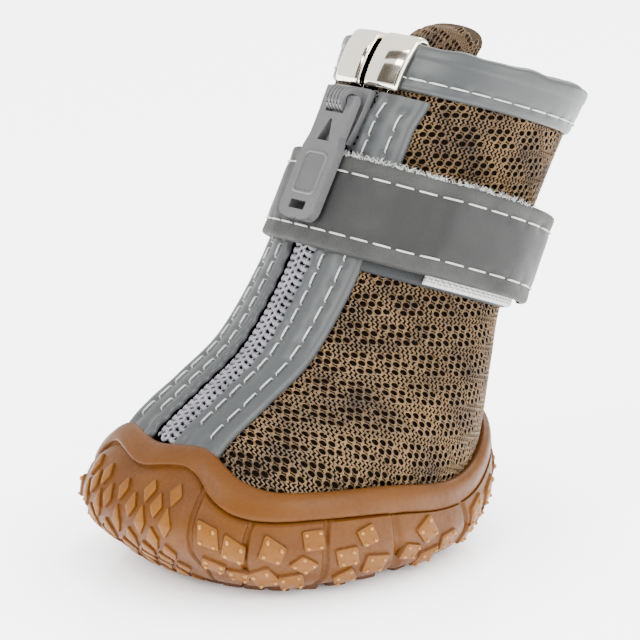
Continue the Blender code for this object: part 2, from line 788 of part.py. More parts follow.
def make_bridge(material, cutters):
    """The bridge over the pull's crossbar, as an arch with two legs that reach into the plate."""
    pivot, down, outward = slider_frame()
    inner = PIVOT_RADIUS + GAP
    outer = inner + BRIDGE_THICKNESS
    depth = (pivot - front_skin(SLIDER_BELOW_COLLAR + SLIDER_LENGTH * PIVOT_SHARE, 0.0, 0.0)).length
    foot = -(depth - COIL_CROWN - GAP - SLIDER_PLATE * 0.4)
    steps = 8
    outline = [(outer, foot)]
    outline += [(outer * math.cos(math.pi * k / steps), outer * math.sin(math.pi * k / steps))
                for k in range(steps + 1)]
    outline += [(-outer, foot), (-inner, foot)]
    outline += [(-inner * math.cos(math.pi * k / steps), inner * math.sin(math.pi * k / steps))
                for k in range(steps + 1)]
    outline += [(inner, foot)]
    bridge = flat_shape("bridge", [outline], BRIDGE_WIDTH, material, cutters)
    bridge.matrix_world = frame_matrix(pivot, down, outward)
    return bridge


def frame_matrix(origin, along, up):
    """Return a matrix whose X is along, Y is up and Z is their cross product."""
    out = along.cross(up)
    turn = Matrix((along, up, out)).transposed().to_4x4()
    return Matrix.Translation(origin) @ turn


def flat_shape(name, outlines, thickness, material, collection):
    """Make a mesh of a flat shape, its first outline the edge and the others holes, with a thickness."""
    curve = bpy.data.curves.new(name, "CURVE")
    curve.dimensions = "2D"
    curve.fill_mode = "BOTH"
    curve.extrude = thickness / 2
    for outline in outlines:
        spline = curve.splines.new("POLY")
        spline.points.add(len(outline) - 1)
        for point, spot in zip(spline.points, outline):
            point.co = (spot[0], spot[1], 0.0, 1.0)
        spline.use_cyclic_u = True
    guide = bpy.data.objects.new(name + "_outline", curve)
    collection.objects.link(guide)
    bpy.context.view_layer.update()
    evaluated = guide.evaluated_get(bpy.context.evaluated_depsgraph_get())
    mesh = bpy.data.meshes.new_from_object(evaluated)
    bpy.data.objects.remove(guide)
    build = bmesh.new()
    build.from_mesh(mesh)
    bmesh.ops.remove_doubles(build, verts=build.verts[:], dist=0.000001)
    bmesh.ops.recalc_face_normals(build, faces=build.faces[:])
    bpy.data.meshes.remove(mesh)
    return finish_mesh(name, build, material, collection)


def make_pull_tab(material, collection, cutters):
    """The pull: a crossbar under the bridge, two arms and a flat tab with a window."""
    pivot, down, outward = slider_frame()
    bridge_outer = PIVOT_RADIUS + GAP + BRIDGE_THICKNESS
    eye_half = BRIDGE_WIDTH / 2 + GAP
    eye_end = bridge_outer + 2 * GAP
    bar_half = eye_half + PULL_ARM
    half = PULL_WIDTH / 2
    tip_radius = PULL_WIDTH * 0.22
    window_start = eye_end + 0.0014
    window_end = PULL_LENGTH * PULL_WINDOW_END
    neck, shoulder = (PULL_LENGTH * share for share in PULL_SHOULDER)
    outline = [(0.0, -bar_half), (neck, -bar_half), (shoulder, -half)]
    for corner, side in ((-90.0, -1.0), (0.0, 1.0)):
        for step in range(5):
            turn = math.radians(corner + 22.5 * step)
            outline.append((PULL_LENGTH - tip_radius + tip_radius * math.cos(turn),
                            side * (half - tip_radius) + tip_radius * math.sin(turn)))
    outline += [(shoulder, half), (neck, bar_half), (0.0, bar_half)]
    eye_start = PIVOT_RADIUS * 0.4
    eye = [(eye_start, -eye_half), (eye_start, eye_half), (eye_end, eye_half), (eye_end, -eye_half)]
    window = [(window_start, -0.0003), (window_start, 0.0003),
              (window_end, PULL_WIDTH * 0.17), (window_end, -PULL_WIDTH * 0.17)]
    slot_start, slot_end = (PULL_LENGTH * share for share in PULL_SLOT)
    slot = [(slot_start, -PULL_WIDTH * 0.22), (slot_start, PULL_WIDTH * 0.22),
            (slot_end, PULL_WIDTH * 0.22), (slot_end, -PULL_WIDTH * 0.22)]
    out = down.cross(outward)
    tab = flat_shape("pull_tab", [outline, eye, window, slot], PULL_THICKNESS, material, collection)
    tab.matrix_world = frame_matrix(pivot, down, out)

    bpy.ops.mesh.primitive_cylinder_add(vertices=14, radius=PIVOT_RADIUS, depth=2 * bar_half - GAP)
    bar = bpy.context.object
    bar.name = "pull_crossbar"
    for owner in list(bar.users_collection):
        owner.objects.unlink(bar)
    cutters.objects.link(bar)
    bar.data.materials.append(material)
    bar.matrix_world = Matrix.Translation(pivot) @ Matrix.Rotation(math.pi / 2, 4, "Y")
    add_boolean(tab, bar, "UNION")
    return tab


def make_collar_sleeve(name, sizes, angles, material, collection):
    """A strip folded over the collar's edge: binding or clip."""
    outer_lift, inner_lift, crest, height, inner_height, thickness, pillow = sizes
    depth = outer_lift - inner_lift
    fold = (
        (-height, outer_lift),
        (-height * 0.52, outer_lift + pillow),
        (0.0, outer_lift),
        (crest, outer_lift - depth * 0.22),
        (crest, inner_lift + depth * 0.22),
        (0.0, inner_lift),
        (-inner_height, inner_lift),
    )

    def place(across, along):
        above, lift = fold[round(along * (len(fold) - 1))]
        return collar_skin(angles[round(across * (len(angles) - 1))], above, lift)

    build = grid_shape((len(angles) - 1, len(fold) - 1), place)
    return add_thickness(finish_mesh(name, build, material, collection), thickness, 1)


def make_collar(leather, nickel, collection):
    """The collar's binding and the two metal clips that hold its ends."""
    edge = angle_at_distance(TOP_LEVEL, CLIP_FROM_MIDDLE + CLIP_THICKNESS)
    inner = -UPPER_WALL - GAP
    binding_sizes = (GAP, inner, 2 * GAP, BINDING_HEIGHT, BINDING_HEIGHT * 0.8, BINDING_THICKNESS, 0.0)
    angles = [edge] + [upper_angle(TOP_LEVEL, column) for column in range(UPPER_COLUMNS)]
    angles.append(math.tau - edge)
    make_collar_sleeve("collar_binding", binding_sizes, angles, leather, collection)
    clear = BINDING_THICKNESS + 2 * GAP
    clip_sizes = (clear, -UPPER_WALL - clear, clear + 2 * GAP,
                  CLIP_HEIGHT, CLIP_HEIGHT * 0.9, CLIP_THICKNESS, CLIP_PILLOW)
    near = angle_at_distance(TOP_LEVEL, CLIP_FROM_MIDDLE)
    far = angle_at_distance(TOP_LEVEL, CLIP_FROM_MIDDLE + CLIP_WIDTH)
    steps = [near + (far - near) * step / 4 for step in range(5)]
    make_collar_sleeve("clip_left", clip_sizes, steps, nickel, collection)
    make_collar_sleeve("clip_right", clip_sizes, [-step for step in reversed(steps)], nickel, collection)


def strap_lift(angle_degrees):
    """Return the lift of the strap's inner face over what lies under it."""
    placket, base, tapes = read_table(STRAP_OVER, angle_degrees, level_ends=True)
    lift = GAP * 2
    lift += placket * (PLACKET_THICKNESS + GAP)
    lift += base * (BASE_THICKNESS + GAP)
    lift += tapes * (LOOP_THICKNESS + HOOK_THICKNESS + 2 * GAP)
    return lift


def band_point(angle, across, width, drop, lift):
    """Return a point of a band round the shaft, with its middle a distance below the strap's."""
    level = level_from(STRAP_LEVEL, angle, (across - 0.5) * width - drop)
    return skin(level, angle, lift)


def make_band(name, sizes, angles, cells, material, collection):
    """A band round part of the shaft, given its width, drop, lift and thickness."""
    width, drop, lift, thickness = sizes

    def place(across, along):
        degrees = angles[0] + (angles[1] - angles[0]) * across
        height = lift if lift is not None else strap_lift(degrees)
        return band_point(math.radians(degrees), along, width, drop, height)

    build = grid_shape(cells, place)
    return add_thickness(finish_mesh(name, build, material, collection), thickness, 1)


def make_straps(materials, collection):
    """The strap over the zip, the strap sewn under it and their fastening tapes."""
    cloth = materials["grey_cloth"]
    beside_placket = throat_edge(front_length(STRAP_LEVEL)) + PLACKET_WIDTH + GAP
    base_start = math.degrees(angle_at_distance(STRAP_LEVEL, beside_placket))
    loop_lift = 2 * GAP + BASE_THICKNESS
    hook_lift = loop_lift + LOOP_THICKNESS + GAP
    make_band("strap", (STRAP_WIDTH, 0.0, None, STRAP_THICKNESS),
              (STRAP_SEAM_ANGLE, STRAP_END_ANGLE), (28, 2), cloth, collection)
    make_band("strap_base", (BASE_WIDTH, BASE_DROP, GAP, BASE_THICKNESS),
              (base_start, BASE_END_ANGLE), (20, 2), cloth, collection)
    make_band("loop_tape", (BASE_WIDTH * 0.96, BASE_DROP, loop_lift, LOOP_THICKNESS),
              LOOP_ANGLES, (10, 2), materials["loop_white"], collection)
    make_band("hook_tape", (HOOK_WIDTH, 0.0, hook_lift, HOOK_THICKNESS),
              HOOK_ANGLES, (7, 2), materials["hook_grey"], collection)


def main():
    """Build the boot."""
    for thing in list(bpy.data.objects):
        bpy.data.objects.remove(thing)
    boot = bpy.data.collections.new("dog_boot")
    cutters = bpy.data.collections.new("cutters")
    for collection in (boot, cutters):
        bpy.context.scene.collection.children.link(collection)
    materials = {name: make_material(name) for name in MATERIALS}
    leather = materials["grey_leather"]
    make_outsole(materials["gum_rubber"], boot, cutters)
    make_insole(materials["insole_foam"], boot)
    make_upper(materials["mesh"], boot)
    make_tongue(materials["mesh"], boot)
    for side, hand in (("left", 1.0), ("right", -1.0)):
        make_placket(f"placket_{side}", hand, leather, boot)
        make_zip_tape(f"zip_tape_{side}", hand, materials["zip_cloth"], boot)
        make_coil(f"zip_coil_{side}", hand, materials["zip_cloth"], boot)
    make_slider(materials["zip_metal"], boot, cutters)
    make_pull_tab(materials["zip_metal"], boot, cutters)
    make_collar(leather, materials["nickel"], boot)
    make_straps(materials, boot)


main()
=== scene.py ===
"""Dog boot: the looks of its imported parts, its camera and its light.

Lengths are metres.  The toe points along -Y, the shown side faces +X and the boot stands on
Z = 0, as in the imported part.  Angles run around the foot from the toe, 0, to the heel, pi.
"""

import logging
import math
import random
from dataclasses import dataclass, field
from enum import Enum
from typing import Callable

import bpy
import numpy as np
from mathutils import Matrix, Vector


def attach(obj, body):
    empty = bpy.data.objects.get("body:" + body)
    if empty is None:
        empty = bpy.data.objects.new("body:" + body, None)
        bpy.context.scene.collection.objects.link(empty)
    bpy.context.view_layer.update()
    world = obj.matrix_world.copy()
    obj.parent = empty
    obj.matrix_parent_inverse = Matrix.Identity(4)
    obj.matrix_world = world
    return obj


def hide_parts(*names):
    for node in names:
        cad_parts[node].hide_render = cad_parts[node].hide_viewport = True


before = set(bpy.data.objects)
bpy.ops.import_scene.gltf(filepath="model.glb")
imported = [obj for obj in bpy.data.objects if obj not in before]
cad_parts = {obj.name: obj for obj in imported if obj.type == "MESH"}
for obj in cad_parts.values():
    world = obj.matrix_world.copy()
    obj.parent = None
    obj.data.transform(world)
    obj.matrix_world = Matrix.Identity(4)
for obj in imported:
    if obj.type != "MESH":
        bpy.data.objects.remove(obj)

LOG = logging.getLogger("dog_boot")
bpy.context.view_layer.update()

Array = np.ndarray
Place = Callable[..., Array]

SMALL_STEP = 0.012
STITCH_TAPER = np.array([0.5, 0.9, 1, 1, 1, 1, 1, 0.9, 0.5])


class Side(Enum):
    """The two sides of the boot, by the sign of X."""

    LEFT = 1
    RIGHT = -1


def curve_through(table: tuple, where: Array, level_ends: bool = False) -> Array:
    """Read a table on a smooth curve at many places.

    Args:
        table: Rows of a place and the values there.
        where: Places to read.
        level_ends: Whether the curve ends level at both ends of the table.

    Returns:
        The values, with one last axis for the table's columns.
    """
    rows = np.array(table, dtype=float)
    places, values = rows[:, 0], rows[:, 1:]
    slopes = np.empty_like(values)
    slopes[1:-1] = (values[2:] - values[:-2]) / (places[2:] - places[:-2])[:, None]
    slopes[0] = (values[1] - values[0]) / (places[1] - places[0])
    slopes[-1] = (values[-1] - values[-2]) / (places[-1] - places[-2])
    if level_ends:
        slopes[0] = slopes[-1] = 0.0
    where = np.asarray(where, dtype=float)
    index = np.clip(np.searchsorted(places, where, side="right") - 1, 0, len(places) - 2)
    span = places[index + 1] - places[index]
    part = ((where - places[index]) / span)[..., None]
    span = span[..., None]
    rise = values[index + 1] - values[index]
    bend = part * part * (3.0 - 2.0 * part)
    swing = slopes[index] * span * part * (1.0 - part) ** 2
    swing = swing - slopes[index + 1] * span * part * part * (1.0 - part)
    return values[index] + rise * bend + swing


def smooth_step(value: Array, low: float, high: float) -> Array:
    """Return a soft step from 0 below one value to 1 above another."""
    part = np.clip((np.asarray(value, dtype=float) - low) / (high - low), 0.0, 1.0)
    return part * part * (3.0 - 2.0 * part)


def signed_power(value: Array, power: Array) -> Array:
    """Raise each value's size to a power and keep its sign."""
    return np.sign(value) * np.abs(value) ** power


def unit(vectors: Array) -> Array:
    """Return vectors at length one."""
    return vectors / np.maximum(np.linalg.norm(vectors, axis=-1, keepdims=True), 1e-12)


def turn_from_toe(angle: Array) -> Array:
    """Return the turns between the toe, 0, and each angle, up to pi at the heel."""
    return np.abs(np.arctan2(np.sin(angle), np.cos(angle)))


def read_grid(grid: Array, row: Array, column: Array) -> Array:
    """Read a grid between its points, by straight lines.

    Args:
        grid: Values by row and column.
        row: Rows, whole or between.
        column: Columns, whole or between.

    Returns:
        The values there.
    """
    row = np.clip(row, 0.0, grid.shape[0] - 1.001)
    column = np.clip(column, 0.0, grid.shape[1] - 1.001)
    upper, left = row.astype(int), column.astype(int)
    down, over = row - upper, column - left
    low = grid[upper, left] * (1.0 - over) + grid[upper, left + 1] * over
    high = grid[upper + 1, left] * (1.0 - over) + grid[upper + 1, left + 1] * over
    return low * (1.0 - down) + high * down


@dataclass
class FootLast:
    """The foot shape that every soft piece lies on, with distances measured along it."""

    foot_length: float = 0.075
    foot_width: float = 0.060
    collar_height: float = 0.097
    foot_height: float = 0.0053
    top: float = 10.0
    # Level, front and back end and their rise, half width, squareness, egg
    levels: tuple = (
        (0.0, -0.410, 0.475, 0.000, 0.000, 0.460, 2.30, 0.00),
        (1.0, -0.473, 0.507, 0.073, 0.073, 0.492, 2.30, 0.00),
        (2.0, -0.467, 0.523, 0.149, 0.138, 0.500, 2.30, 0.02),
        (3.0, -0.380, 0.531, 0.242, 0.215, 0.488, 2.30, 0.08),
        (4.0, -0.247, 0.536, 0.313, 0.286, 0.467, 2.25, 0.14),
        (5.0, -0.107, 0.547, 0.389, 0.351, 0.447, 2.20, 0.16),
        (6.0, 0.020, 0.580, 0.520, 0.422, 0.417, 2.15, 0.14),
        (7.0, 0.113, 0.647, 0.656, 0.509, 0.400, 2.10, 0.10),
        (8.0, 0.200, 0.733, 0.793, 0.624, 0.392, 2.10, 0.06),
        (9.0, 0.287, 0.840, 0.924, 0.766, 0.392, 2.10, 0.03),
        (10.0, 0.340, 0.907, 1.000, 0.853, 0.408, 2.10, 0.00),
    )
    rows: int = 201
    columns: int = 721
    arc: Array = field(init=False)
    climb: Array = field(init=False)

    def __post_init__(self) -> None:
        """Measure the last once: arc lengths from the toe line and climbs from the foot."""
        level = np.linspace(0.0, self.top, self.rows)[:, None]
        angle = np.linspace(0.0, math.pi, self.columns)[None, :]
        level, angle = np.broadcast_arrays(level, angle)
        points = self.point(level, angle)
        legs = np.linalg.norm(np.diff(points, axis=1), axis=-1)
        self.arc = np.concatenate([np.zeros((self.rows, 1)), np.cumsum(legs, axis=1)], axis=1)
        legs = np.linalg.norm(np.diff(points, axis=0), axis=-1)
        climb = np.concatenate([np.zeros((1, self.columns)), np.cumsum(legs, axis=0)], axis=0)
        self.climb = climb - climb[-1:]

    def point(self, level: Array, angle: Array) -> Array:
        """Return points of the upper's outer face by level and angle.

        Args:
            level: Levels of the last.
            angle: Angles from the toe.

        Returns:
            The points.
        """
        front, back, front_rise, back_rise, half, square, egg = np.moveaxis(
            curve_through(self.levels, level), -1, 0)
        rise = self.collar_height - self.foot_height
        along = signed_power(np.cos(angle), 2.0 / square)
        across = signed_power(np.sin(angle), 2.0 / square)
        y = ((front + back) / 2 + (front - back) / 2 * along) * self.foot_length
        z = self.foot_height + ((front_rise + back_rise) / 2 + (front_rise - back_rise) / 2 * along) * rise
        x = half * self.foot_width * across * (1.0 - egg * along)
        return np.stack(np.broadcast_arrays(x, y, z), axis=-1)

    def directions(self, level: Array, angle: Array) -> tuple[Array, Array]:
        """Return the upward tangents and the outward normals of the outer face.

        Args:
            level: Levels of the last.
            angle: Angles from the toe.

        Returns:
            The tangents and the normals, each of length one.
        """
        low, high = np.maximum(level - SMALL_STEP, 0.0), np.minimum(level + SMALL_STEP, self.top)
        upward = unit(self.point(high, angle) - self.point(low, angle))
        around = self.point(level, angle + SMALL_STEP) - self.point(level, angle - SMALL_STEP)
        return upward, unit(np.cross(around, upward))

    def skin(self, level: Array, angle: Array, lift: Array) -> Array:
        """Return points at a distance outside the outer face."""
        lift = np.asarray(lift, dtype=float)[..., None]
        return self.point(level, angle) + self.directions(level, angle)[1] * lift

    def angle_at(self, level: Array, distance: Array) -> Array:
        """Return the angles whose arc from the toe line has a length, signed by side.

        Args:
            level: Levels of the last.
            distance: Arc lengths from the toe line, negative on the right side.

        Returns:
            The angles.
        """
        level, distance = np.broadcast_arrays(np.asarray(level, float), np.asarray(distance, float))
        row = np.clip(level / self.top * (self.rows - 1), 0.0, self.rows - 1.001)
        base = row.astype(int)
        part = row - base
        low = self._angle_on_row(base, np.abs(distance))
        high = self._angle_on_row(base + 1, np.abs(distance))
        return np.sign(distance) * (low * (1.0 - part) + high * part)

    def _angle_on_row(self, row: Array, distance: Array) -> Array:
        """Return the angle at an arc length on whole rows of the measured grid.

        Args:
            row: Rows of the measured grid.
            distance: Arc lengths from the toe.

        Returns:
            The angles.
        """
        angles = np.linspace(0.0, math.pi, self.columns)
        result = np.empty(distance.shape)
        for one in np.unique(row):
            here = row == one
            result[here] = np.interp(distance[here], self.arc[one], angles)
        return result

    def level_at(self, angle: Array, below_collar: Array) -> Array:
        """Return the levels at a distance below the collar, measured down the last.

        Args:
            angle: Angles from the toe.
            below_collar: Distances below the collar's edge.

        Returns:
            The levels.
        """
        angle, below = np.broadcast_arrays(np.asarray(angle, float), np.asarray(below_collar, float))
        turn = turn_from_toe(angle)
        column = np.clip(np.rint(turn / math.pi * (self.columns - 1)), 0, self.columns - 1).astype(int)
        levels = np.linspace(0.0, self.top, self.rows)
        result = np.empty(below.shape)
        for one in np.unique(column):
            here = column == one
            result[here] = np.interp(-below[here], self.climb[:, one], levels)
        return result

    def level_at_height(self, angle: Array, height: Array) -> Array:
        """Return the levels at which the last reaches a height.

        Args:
            angle: Angles from the toe.
            height: Heights over the ground.

        Returns:
            The levels.
        """
        low = np.zeros(np.broadcast(angle, height).shape)
        high = low + self.top
        for _ in range(18):
            middle = (low + high) / 2
            short = self.point(middle, angle)[..., 2] < height
            low, high = np.where(short, middle, low), np.where(short, high, middle)
        return (low + high) / 2

    def front(self, below: Array, aside: Array, lift: Array) -> Array:
        """Return points of the front by distance below the collar and from the centre line.

        Args:
            below: Distances below the collar's edge.
            aside: Distances from the centre line.
            lift: Distances outside the surface.

        Returns:
            The points.
        """
        below, aside, lift = np.broadcast_arrays(below, aside, lift)
        level = self.level_at(0.0, below)
        return self.skin(level, self.angle_at(level, aside), lift)

    def cloth(self, ahead: Array, below: Array, lift: Array, side: Side) -> Array:
        """Return points of one side of the upper, laid like a flat cloth from the heel seam.

        Args:
            ahead: Distances from the heel seam towards the toe.
            below: Distances below the collar's edge.
            lift: Distances outside the outer face.
            side: The side of the boot.

        Returns:
            The points.
        """
        ahead, below, lift = np.broadcast_arrays(ahead, below, lift)
        level = np.full(ahead.shape, 5.0)
        for _ in range(7):
            girth = np.interp(level, np.linspace(0.0, self.top, self.rows), self.arc[:, -1])
            angle = self.angle_at(level, np.maximum(girth - ahead, 1e-5))
            level = 0.35 * level + 0.65 * self.level_at(angle, below)
        return self.skin(level, angle * side.value, lift)

    def collar(self, angle: Array, above: Array, lift: Array) -> Array:
        """Return points by their distance above the collar's edge, or below it if negative.

        Args:
            angle: Angles from the toe.
            above: Distances above the collar's edge.
            lift: Distances outside the surface.

        Returns:
            The points.
        """
        angle, above, lift = np.broadcast_arrays(angle, above, lift)
        level = self.level_at(angle, np.maximum(-above, 0.0))
        upward, outward = self.directions(level, angle)
        rise = np.maximum(above, 0.0)[..., None]
        return self.point(level, angle) + upward * rise + outward * lift[..., None]

    def band(self, level: float, angle: Array, up: Array, lift: Array) -> Array:
        """Return points of a band around the last, by distance up from a level.

        Args:
            level: Level of the band's middle.
            angle: Angles from the toe.
            up: Distances up from that level.
            lift: Distances outside the surface.

        Returns:
            The points.
        """
        angle, up, lift = np.broadcast_arrays(angle, up, lift)
        start = -self.level_climb(level, angle)
        found = self.level_at(angle, start - up)
        return self.skin(found, angle, lift)

    def level_climb_all(self, level: Array) -> Array:
        """Return the climb at the toe line for many levels, zero at the collar."""
        return np.interp(level, np.linspace(0.0, self.top, self.rows), self.climb[:, 0])

    def level_climb(self, level: float, angle: Array) -> Array:
        """Return the climb of a level at each angle, zero at the collar and negative below.

        Args:
            level: One level.
            angle: Angles from the toe.

        Returns:
            The distances along the last.
        """
        turn = turn_from_toe(angle)
        row = np.full(turn.shape, level / self.top * (self.rows - 1))
        return read_grid(self.climb, row, turn / math.pi * (self.columns - 1))


@dataclass
class MeshWork:
    """Points, faces and flat cloth coordinates gathered for one object."""

    points: list = field(default_factory=list)
    faces: list = field(default_factory=list)
    flat: list = field(default_factory=list)
    slots: list = field(default_factory=list)
    count: int = 0

    def add(self, points: Array, faces: Array, flat: Array | None = None, slot: int = 0) -> None:
        """Add points with their faces.

        Args:
            points: Points, one row each.
            faces: Corner numbers into these points, one row for each face.
            flat: Cloth coordinates in metres, one row for each point.
            slot: Number of the material among the object's materials.
        """
        points = np.asarray(points, dtype=float).reshape(-1, 3)
        if flat is None:
            flat = np.zeros((len(points), 2))
        self.points.append(points)
        self.flat.append(np.asarray(flat, dtype=float).reshape(-1, 2))
        self.faces.append(np.asarray(faces, dtype=int) + self.count)
        self.slots.append(slot)
        self.count += len(points)

    def surface(self, grid: Array, flat: Array | None = None, slot: int = 0,
                round_rows: bool = False, round_columns: bool = False) -> None:
        """Add a surface through a grid of points.

        Args:
            grid: Points by row and column; faces turn from the columns towards the rows.
            flat: Cloth coordinates by row and column.
            slot: Number of the material.
            round_rows: Whether the last row joins the first.
            round_columns: Whether the last column joins the first.
        """
        rows, columns = grid.shape[:2]
        row = np.arange(rows if round_rows else rows - 1)
        column = np.arange(columns if round_columns else columns - 1)
        row, column = np.meshgrid(row, column, indexing="ij")
        after = (column + 1) % columns
        start, below = row * columns, (row + 1) % rows * columns
        faces = np.stack([start + column, start + after, below + after, below + column], axis=-1)
        self.add(grid, faces.reshape(-1, 4), flat, slot)

    def tubes(self, paths: Array, radius: Array, sides: int = 6, slot: int = 0) -> None:
        """Add round tubes along many paths of equal length, closed to a point at both ends.

        Args:
            paths: Points by tube and step.
            radius: Radius at each step, or one number.
            sides: Number of sides of each tube.
            slot: Number of the material.
        """
        paths = np.asarray(paths, dtype=float)
        many, steps = paths.shape[:2]
        along = unit(np.gradient(paths, axis=1))
        guide = np.where(np.abs(along[:, :1, 2:]) > 0.8, (1.0, 0.0, 0.0), (0.0, 0.0, 1.0))
        first = unit(np.cross(along, guide))
        second = np.cross(along, first)
        turn = np.arange(sides) * 2 * math.pi / sides
        width = np.broadcast_to(np.asarray(radius, dtype=float), (steps,))[None, :, None, None]
        ring = first[:, :, None] * np.cos(turn)[:, None] + second[:, :, None] * np.sin(turn)[:, None]
        rings = paths[:, :, None] + ring * width
        counts = (np.arange(many), np.arange(steps - 1), np.arange(sides))
        tube, step, side = np.meshgrid(*counts, indexing="ij")
        start = (tube * steps + step) * sides
        after = (side + 1) % sides
        faces = np.stack([start + side, start + after, start + sides + after, start + sides + side], axis=-1)
        self.add(rings, faces.reshape(-1, 4), None, slot)

    def make(self, name: str, materials: list, body: str = "boot") -> bpy.types.Object:
        """Make the object and let it ride a body.

        Args:
            name: Name of the object.
            materials: Its materials, in the order of the slot numbers.
            body: Name of the body that it moves with.

        Returns:
            The object.
        """
        mesh = bpy.data.meshes.new(name)
        faces = [face.tolist() for block in self.faces for face in block]
        mesh.from_pydata(np.concatenate(self.points).tolist(), [], faces)
        layer = mesh.uv_layers.new(name="flat")
        corners = np.empty(len(mesh.loops), dtype=int)
        mesh.loops.foreach_get("vertex_index", corners)
        layer.data.foreach_set("uv", np.concatenate(self.flat)[corners].ravel())
        numbers = np.concatenate([np.full(len(block), slot) for block, slot in zip(self.faces, self.slots)])
        mesh.polygons.foreach_set("material_index", numbers)
        mesh.shade_smooth()
        mesh.set_sharp_from_angle(angle=math.radians(60))
        for material in materials:
            mesh.materials.append(material)
        made = bpy.data.objects.new(name, mesh)
        bpy.context.scene.collection.objects.link(made)
        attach(made, body)
        LOG.info("%s: %d faces", name, len(faces))
        return made


def stitch_paths(place: Place, starts: Array, length: float, across: float, proud: float) -> Array:
    """Lay a row of stitches whose ends dip into the material.

    Args:
        place: Gives points by distance along the row, distance across it and lift.
        starts: Where each stitch starts along the row.
        length: Length of a stitch.
        across: Place of the row across the piece.
        proud: How far the middle of a stitch stands above the surface.

    Returns:
        The stitches' middle lines, by stitch and step.
    """
    share = np.linspace(0.0, 1.0, 9)
    along = starts[:, None] + share[None, :] * length
    dip = np.minimum(1.0, np.sin(share * math.pi) * 2.6)
    lift = -0.0003 + (proud + 0.0003) * dip
    return place(along, across, lift)


class NodeWork:
    """A node tree in the making, for a material or a shared group."""

    def __init__(self, tree: bpy.types.NodeTree) -> None:
        """Start work on a tree."""
        self.tree = tree

    def node(self, kind: str, inputs: dict | None = None, **settings: object) -> bpy.types.Node:
        """Add a node.

        Args:
            kind: Node type.
            inputs: Values or output sockets for its inputs, by name or number.
            settings: Properties of the node.

        Returns:
            The node.
        """
        made = self.tree.nodes.new(kind)
        for name, value in settings.items():
            setattr(made, name, value)
        for name, value in (inputs or {}).items():
            if isinstance(value, bpy.types.NodeSocket):
                self.tree.links.new(value, made.inputs[name])
            else:
                made.inputs[name].default_value = value
        return made

    def sum(self, operation: str, first: object, second: object = 0.0) -> bpy.types.NodeSocket:
        """Add a Math node and return its output."""
        return self.node("ShaderNodeMath", {0: first, 1: second}, operation=operation).outputs[0]

    def mix(self, part: object, first: object, second: object) -> bpy.types.NodeSocket:
        """Add a colour mix and return its output."""
        made = self.node("ShaderNodeMix", {0: part, 6: first, 7: second}, data_type="RGBA")
        return made.outputs[2]


def shared_group(name: str, inputs: dict, outputs: tuple) -> tuple[NodeWork, object, object]:
    """Start a shader group with named sockets.

    Args:
        name: Name of the group.
        inputs: Default values by socket name; a tuple makes a vector socket.
        outputs: Names of the value outputs.

    Returns:
        The work on its tree, its input node and its output node.
    """
    tree = bpy.data.node_groups.new(name, "ShaderNodeTree")
    for socket, value in inputs.items():
        kind = "NodeSocketVector" if isinstance(value, tuple) else "NodeSocketFloat"
        tree.interface.new_socket(socket, in_out="INPUT", socket_type=kind).default_value = value
    for socket in outputs:
        tree.interface.new_socket(socket, in_out="OUTPUT", socket_type="NodeSocketFloat")
    work = NodeWork(tree)
    return work, work.node("NodeGroupInput"), work.node("NodeGroupOutput")


def grain_group() -> bpy.types.NodeTree:
    """Make the group for pores, fine grain and slow changes of tone.

    Returns:
        The group's tree.
    """
    work, given, out = shared_group("grain", {"Vector": (0.0, 0.0, 0.0), "Size": 0.001}, ("Height", "Tone"))
    scale = work.sum("DIVIDE", 1.0, given.outputs["Size"])
    vector = given.outputs["Vector"]
    fine = work.node("ShaderNodeTexNoise", {"Vector": vector, "Scale": scale, "Detail": 4.0})
    cells = work.node("ShaderNodeTexVoronoi", {"Vector": vector, "Scale": scale}, feature="DISTANCE_TO_EDGE")
    slow = work.node("ShaderNodeTexNoise", {"Vector": vector, "Scale": 130.0, "Detail": 3.0})
    crack = work.node("ShaderNodeMapRange", {"Value": cells.outputs["Distance"], "From Max": 0.25})
    height = work.sum("MULTIPLY", fine.outputs["Fac"], crack.outputs[0])
    tone = work.sum("ADD", work.sum("MULTIPLY", fine.outputs["Fac"], 0.4),
                    work.sum("MULTIPLY", slow.outputs["Fac"], 0.6))
    spread = work.node("ShaderNodeMapRange", {"Value": tone, "From Min": 0.34, "From Max": 0.66})
    work.tree.links.new(height, out.inputs["Height"])
    work.tree.links.new(spread.outputs[0], out.inputs["Tone"])
    return work.tree


def weave_group() -> bpy.types.NodeTree:
    """Make the group for a plain weave, over and under, on flat cloth coordinates.

    Returns:
        The group's tree.
    """
    sockets = {"Vector": (0.0, 0.0, 0.0), "Pitch": 0.0005}
    work, given, out = shared_group("weave", sockets, ("Height", "Tone"))
    split = work.node("ShaderNodeSeparateXYZ", {"Vector": given.outputs["Vector"]})
    turn = work.sum("DIVIDE", math.pi, given.outputs["Pitch"])
    across = work.sum("SINE", work.sum("MULTIPLY", split.outputs[0], turn))
    along = work.sum("SINE", work.sum("MULTIPLY", split.outputs[1], turn))
    over = work.sum("GREATER_THAN", work.sum("MULTIPLY", across, along), 0.0)
    warp = work.sum("ABSOLUTE", across)
    weft = work.sum("ABSOLUTE", along)
    under = work.sum("SUBTRACT", 1.0, over)
    height = work.sum("ADD", work.sum("MULTIPLY", warp, over), work.sum("MULTIPLY", weft, under))
    fuzz = work.node("ShaderNodeTexNoise", {"Vector": given.outputs["Vector"], "Scale": 9000.0})
    tone = work.sum("ADD", work.sum("MULTIPLY", height, 0.7), work.sum("MULTIPLY", fuzz.outputs["Fac"], 0.3))
    work.tree.links.new(height, out.inputs["Height"])
    work.tree.links.new(tone, out.inputs["Tone"])
    return work.tree


